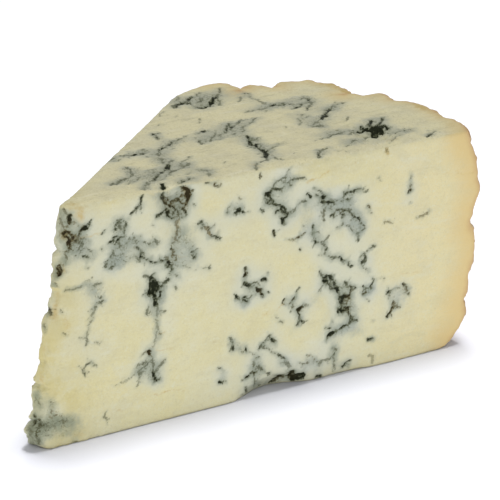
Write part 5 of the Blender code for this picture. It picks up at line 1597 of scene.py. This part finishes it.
def paste_colour(graph, look, settings):
    """Ivory paste of the cuts and the duller top, yellower at the tip and tan towards the rind."""
    cut = layered(graph, look, tuple(settings.paste_colour), CUT_GROUND)
    cut = graph.blend(look.gold * look.patchy.step(*GOLD_EDGE) * GOLD_STRENGTH, cut, PASTE_GOLD)
    cut = graph.blend(look.pale * (PALE_LEAST + look.streaky * PALE_MORE), cut, PASTE_WHITE)
    sunny = look.sunny * (SUNNY_LEAST + look.patchy * SUNNY_MORE).least(1.0)
    cut = layered(graph, look, graph.blend(sunny, cut, PASTE_SUNNY), CUT_LAYERS)
    top = layered(graph, look, tuple(settings.top_colour), TOP_LAYERS)
    paste = graph.blend(look.top, cut, top)
    yellow = look.tip * YELLOW_STRENGTH * look.patchy.step(*YELLOW_EDGE)
    paste = graph.blend(yellow, paste, TIP_YELLOW)
    tan = look.ripe + (look.broad - 0.5) * TAN_SWAYS[0] + (look.patchy - 0.5) * TAN_SWAYS[1]
    tan = (tan - look.top * TAN_LESS_ON_TOP).step(*TAN_EDGE)
    paste = graph.blend(tan * TAN_STRENGTH, paste, RIM_TAN)
    orange = (look.ripe + (look.patchy - 0.5) * ORANGE_SWAY).step(*ORANGE_EDGE)
    return graph.blend(orange * ORANGE_STRENGTH, paste, RIND_ORANGE)


def hazed(graph, look, surface):
    """The surface with the pale veil and the grey bloom that lie round its veins."""
    misty = (look.veil + (look.patchy - 0.5) * VEIL_SWAY).step(*VEIL_EDGE)
    misty = (misty + look.cool * look.patchy.step(*COOL_EDGE) * COOL_VEIL).least(1.0)
    mist = graph.blend(look.cool, VEIL_GREY, VEIL_COOL)
    surface = graph.blend(misty * (VEIL_ON_CUTS - look.top * VEIL_LESS_ON_TOP), surface, mist)
    uneven = (look.clots - 0.5) * BLOOM_SWAYS[0] + (look.grain - 0.5) * BLOOM_SWAYS[1]
    uneven = uneven + (look.streaky - 0.5) * look.top * BLOOM_SWAYS[2]
    clouded = (look.bloom + uneven).step(*BLOOM_EDGE)
    haze = graph.blend(look.top, BLOOM_GREY, TOP_BLOOM_GREY)
    haze = graph.blend(look.tip * TIP_HAZE, haze, TIP_BLOOM_GREY)
    haze = graph.blend(look.cool, haze, BLOOM_COOL)
    return graph.blend(clouded * (BLOOM_ON_CUTS - look.top * BLOOM_LESS_ON_TOP), surface, haze)


def moulded(graph, look, surface, black):
    """The surface with ochre stains, painted crease and rim shade, specks and dark veins, and how much of
    it is mould.
    """
    loops = (1 - (look.loops - 0.5).math("ABSOLUTE") * LOOP_SHARPNESS).most(0.0)
    strands = (1 - (look.strands - 0.5).math("ABSOLUTE") * STRAND_SHARPNESS).most(0.0)
    lace = loops.most(strands)
    chance = look.grain * CHANCE_PARTS[0] + look.clots * CHANCE_PARTS[1] + look.fine * CHANCE_PARTS[2]
    chance = (chance - 0.5) * CHANCE_SPREAD + (look.streaky - 0.5) * look.top * CHANCE_STREAKS

    # Ochre stains and threads, and the painted shade of the crease and of the cavity's rims
    stained_and_shaded = (look.ochre * STAIN_REACH - STAIN_START - chance * STAIN_SWAY).step(0.0, 1.0)
    surface = graph.blend(stained_and_shaded * STAIN_STRENGTH, surface, OCHRE_AND_PAINTED_SHADE)
    # Olive and brown mould, and the brown painted shade at the cavity's rims
    olive = (look.olive + look.ochre * OLIVE_BY_OCHRE + look.tip * OLIVE_AT_TIP).step(*OLIVE_EDGE)
    grey = graph.blend(olive * OLIVE_IN_GREY, MOULD_GREY, MOULD_OLIVE)
    black = graph.blend(olive * OLIVE_IN_BLACK, black, MOULD_BROWN_AND_RIM_SHADE)

    specks = look.bloom * SPECK_BLOOM - SPECK_START + lace * SPECK_LACE - chance * SPECK_SWAY
    surface = graph.blend(specks.step(*SPECK_EDGE) * SPECK_STRENGTH, surface, grey)
    smoke = look.vein.step(*SMOKE_EDGE) * look.dark * (SMOKE_LEAST + (look.clots - 0.5) * SMOKE_SWAY)
    surface = graph.blend(smoke * SMOKE_STRENGTH, surface, SMOKE_GREY)

    odds = ((look.vein - VEIN_LEVEL) * VEIN_ODDS + (look.dark - 1.0) * DARK_ODDS).least(MOST_ODDS)
    odds = odds + (lace - 0.5) * LACE_ODDS - chance
    odds = odds - (1 - look.vein.step(*CLEAR_EDGE)) * CLEAR_ODDS
    body = odds.step(*BODY_EDGE)
    surface = graph.blend(body * (BODY_LEAST + look.dark * BODY_MORE), surface, grey)
    heart = (odds + (look.dark - 1.0) * HEART_ODDS).step(*HEART_EDGE)
    return graph.blend(heart * HEART_STRENGTH, surface, black), body


def cheese_material(settings):
    """Ivory paste, blue-black veins with grey bloom, ochre threads, painted shade in a crease and at a
    cavity's rims, and a tan to brown rind.
    """
    material = bpy.data.materials.new("marbled_cheese")
    material.use_nodes = True
    graph = Graph(material.node_tree)
    look = looks_of(graph)
    paste = paste_colour(graph, look, settings)
    crust = layered(graph, look, tuple(settings.rind_colour), RIND_LAYERS)
    surface = hazed(graph, look, graph.blend(look.rind, paste, crust))
    surface, mould = moulded(graph, look, surface, tuple(settings.mould_colour))

    rough = PASTE_ROUGHNESS - mould * MOULD_SMOOTHER + look.rind * RIND_ROUGHER
    rough = rough + (look.patchy - 0.5) * ROUGHNESS_SWAY
    coarse = BUMP_GRAIN + mould * BUMP_MOULD + look.rind * BUMP_RIND + look.crumbly
    height = look.fine * BUMP_FINE + look.grain * coarse
    bump = graph.node(
        "ShaderNodeBump", None,
        {"Height": height, "Distance": BUMP_DISTANCE, "Strength": BUMP_STRENGTH},
    )
    shader = material.node_tree.nodes["Principled BSDF"]
    for name, wire in (("Base Color", surface), ("Roughness", rough), ("Normal", bump)):
        material.node_tree.links.new(wire.socket, shader.inputs[name])
    shader.inputs["Specular IOR Level"].default_value = SHINE
    return material


class OBJECT_OT_cheese_wedge(bpy.types.Operator):
    """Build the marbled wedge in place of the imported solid"""

    bl_idname = "object.cheese_wedge"
    bl_label = "Cheese wedge"

    def execute(self, context):
        settings = context.scene.cheese_wedge
        wedge = merged_copy("marbled_wedge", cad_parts[NODE])
        evenly_meshed(wedge, settings.mesh_spacing)
        finer_where_seen(wedge)
        nick_rind(wedge)
        shape_tip(wedge)
        round_top_edge(wedge)
        mark_surface(wedge)
        material = cheese_material(settings)
        add_relief(wedge, material, settings)
        clear_of_floor(wedge.data)
        wedge.data.shade_smooth()
        triangles = sum(len(face.vertices) - 2 for face in wedge.data.polygons)
        print("wedge triangles", triangles)
        if triangles > TRIANGLE_LIMIT:
            raise RuntimeError("the wedge has too many triangles: widen the mesh spacing")
        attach(wedge, BODY)
        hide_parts(NODE)
        return {"FINISHED"}


def add_floor(settings):
    """A large pale floor just under the part."""
    half = settings.floor_size / 2
    corners = [(x * half, y * half, -FLOOR_DROP) for x, y in ((-1, -1), (1, -1), (1, 1), (-1, 1))]
    mesh = bpy.data.meshes.new("floor")
    mesh.from_pydata(corners, [], [(0, 1, 2, 3)])
    material = bpy.data.materials.new("floor_white")
    material.use_nodes = True
    shader = material.node_tree.nodes["Principled BSDF"]
    shader.inputs["Base Color"].default_value = (*settings.floor_colour, 1.0)
    shader.inputs["Roughness"].default_value = FLOOR_ROUGHNESS
    shader.inputs["Specular IOR Level"].default_value = 0.0
    mesh.materials.append(material)
    floor = linked("floor", mesh)
    return floor


def add_area_light(name, power, size, place):
    """A soft light at a place, turned to the part's origin."""
    data = bpy.data.lights.new(name, "AREA")
    data.energy = power
    data.shape = "RECTANGLE"
    data.size, data.size_y = size
    light = linked(name, data)
    light.location = place
    light.rotation_euler = (-place).to_track_quat("-Z", "Y").to_euler()
    return light


def add_light(settings, floor):
    """Even light from all sides, a soft key light, and one that falls on the floor alone."""
    world = bpy.data.worlds.new("studio")
    bpy.context.scene.world = world
    world.use_nodes = True
    background = world.node_tree.nodes["Background"]
    background.inputs["Color"].default_value = WHITE
    background.inputs["Strength"].default_value = settings.sky
    add_area_light("key", settings.key, KEY_SIZE, KEY_PLACE)
    table = add_area_light("table", settings.table, TABLE_LIGHT_SIZE, TABLE_LIGHT_PLACE)
    lit = bpy.data.collections.new("lit_by_table_light")
    lit.objects.link(floor)
    table.light_linking.receiver_collection = lit


def add_camera(settings):
    """The camera that sees the near cut and the top."""
    data = bpy.data.cameras.new("camera")
    data.lens = settings.lens
    data.sensor_width = SENSOR_WIDTH
    data.clip_start, data.clip_end = CLIP_NEAR, CLIP_FAR
    camera = linked("camera", data)
    turn = Matrix((CAMERA_RIGHT, CAMERA_UP, CAMERA_BACK)).transposed()
    camera.matrix_world = Matrix.Translation(CAMERA_PLACE) @ turn.to_4x4()
    bpy.context.scene.camera = camera


class SCENE_OT_cheese_stage(bpy.types.Operator):
    """Set the pale floor, the soft light and the camera"""

    bl_idname = "scene.cheese_stage"
    bl_label = "Stage"

    def execute(self, context):
        settings = context.scene.cheese_stage
        floor = add_floor(settings)
        add_light(settings, floor)
        add_camera(settings)
        context.scene.view_settings.view_transform = "Standard"
        return {"FINISHED"}


class VIEW3D_PT_cheese(bpy.types.Panel):
    """Lists the steps and their sizes"""

    bl_label = "Blue cheese wedge"
    bl_idname = "VIEW3D_PT_cheese"
    bl_space_type = "VIEW_3D"
    bl_region_type = "UI"
    bl_category = "Cheese"

    def draw(self, context):
        for operator, group in (
            (OBJECT_OT_cheese_wedge, context.scene.cheese_wedge),
            (SCENE_OT_cheese_stage, context.scene.cheese_stage),
        ):
            box = self.layout.box()
            box.operator(operator.bl_idname)
            for name in group.__annotations__:
                box.prop(group, name)


CLASSES = (
    CheeseWedgeSettings,
    CheeseStageSettings,
    OBJECT_OT_cheese_wedge,
    SCENE_OT_cheese_stage,
    VIEW3D_PT_cheese,
)


def register():
    for item in CLASSES:
        bpy.utils.register_class(item)
    bpy.types.Scene.cheese_wedge = bpy.props.PointerProperty(type=CheeseWedgeSettings)
    bpy.types.Scene.cheese_stage = bpy.props.PointerProperty(type=CheeseStageSettings)


def unregister():
    del bpy.types.Scene.cheese_stage
    del bpy.types.Scene.cheese_wedge
    for item in reversed(CLASSES):
        bpy.utils.unregister_class(item)


def main():
    register()
    bpy.ops.object.cheese_wedge()
    bpy.ops.scene.cheese_stage()


if __name__ == "__main__":
    main()
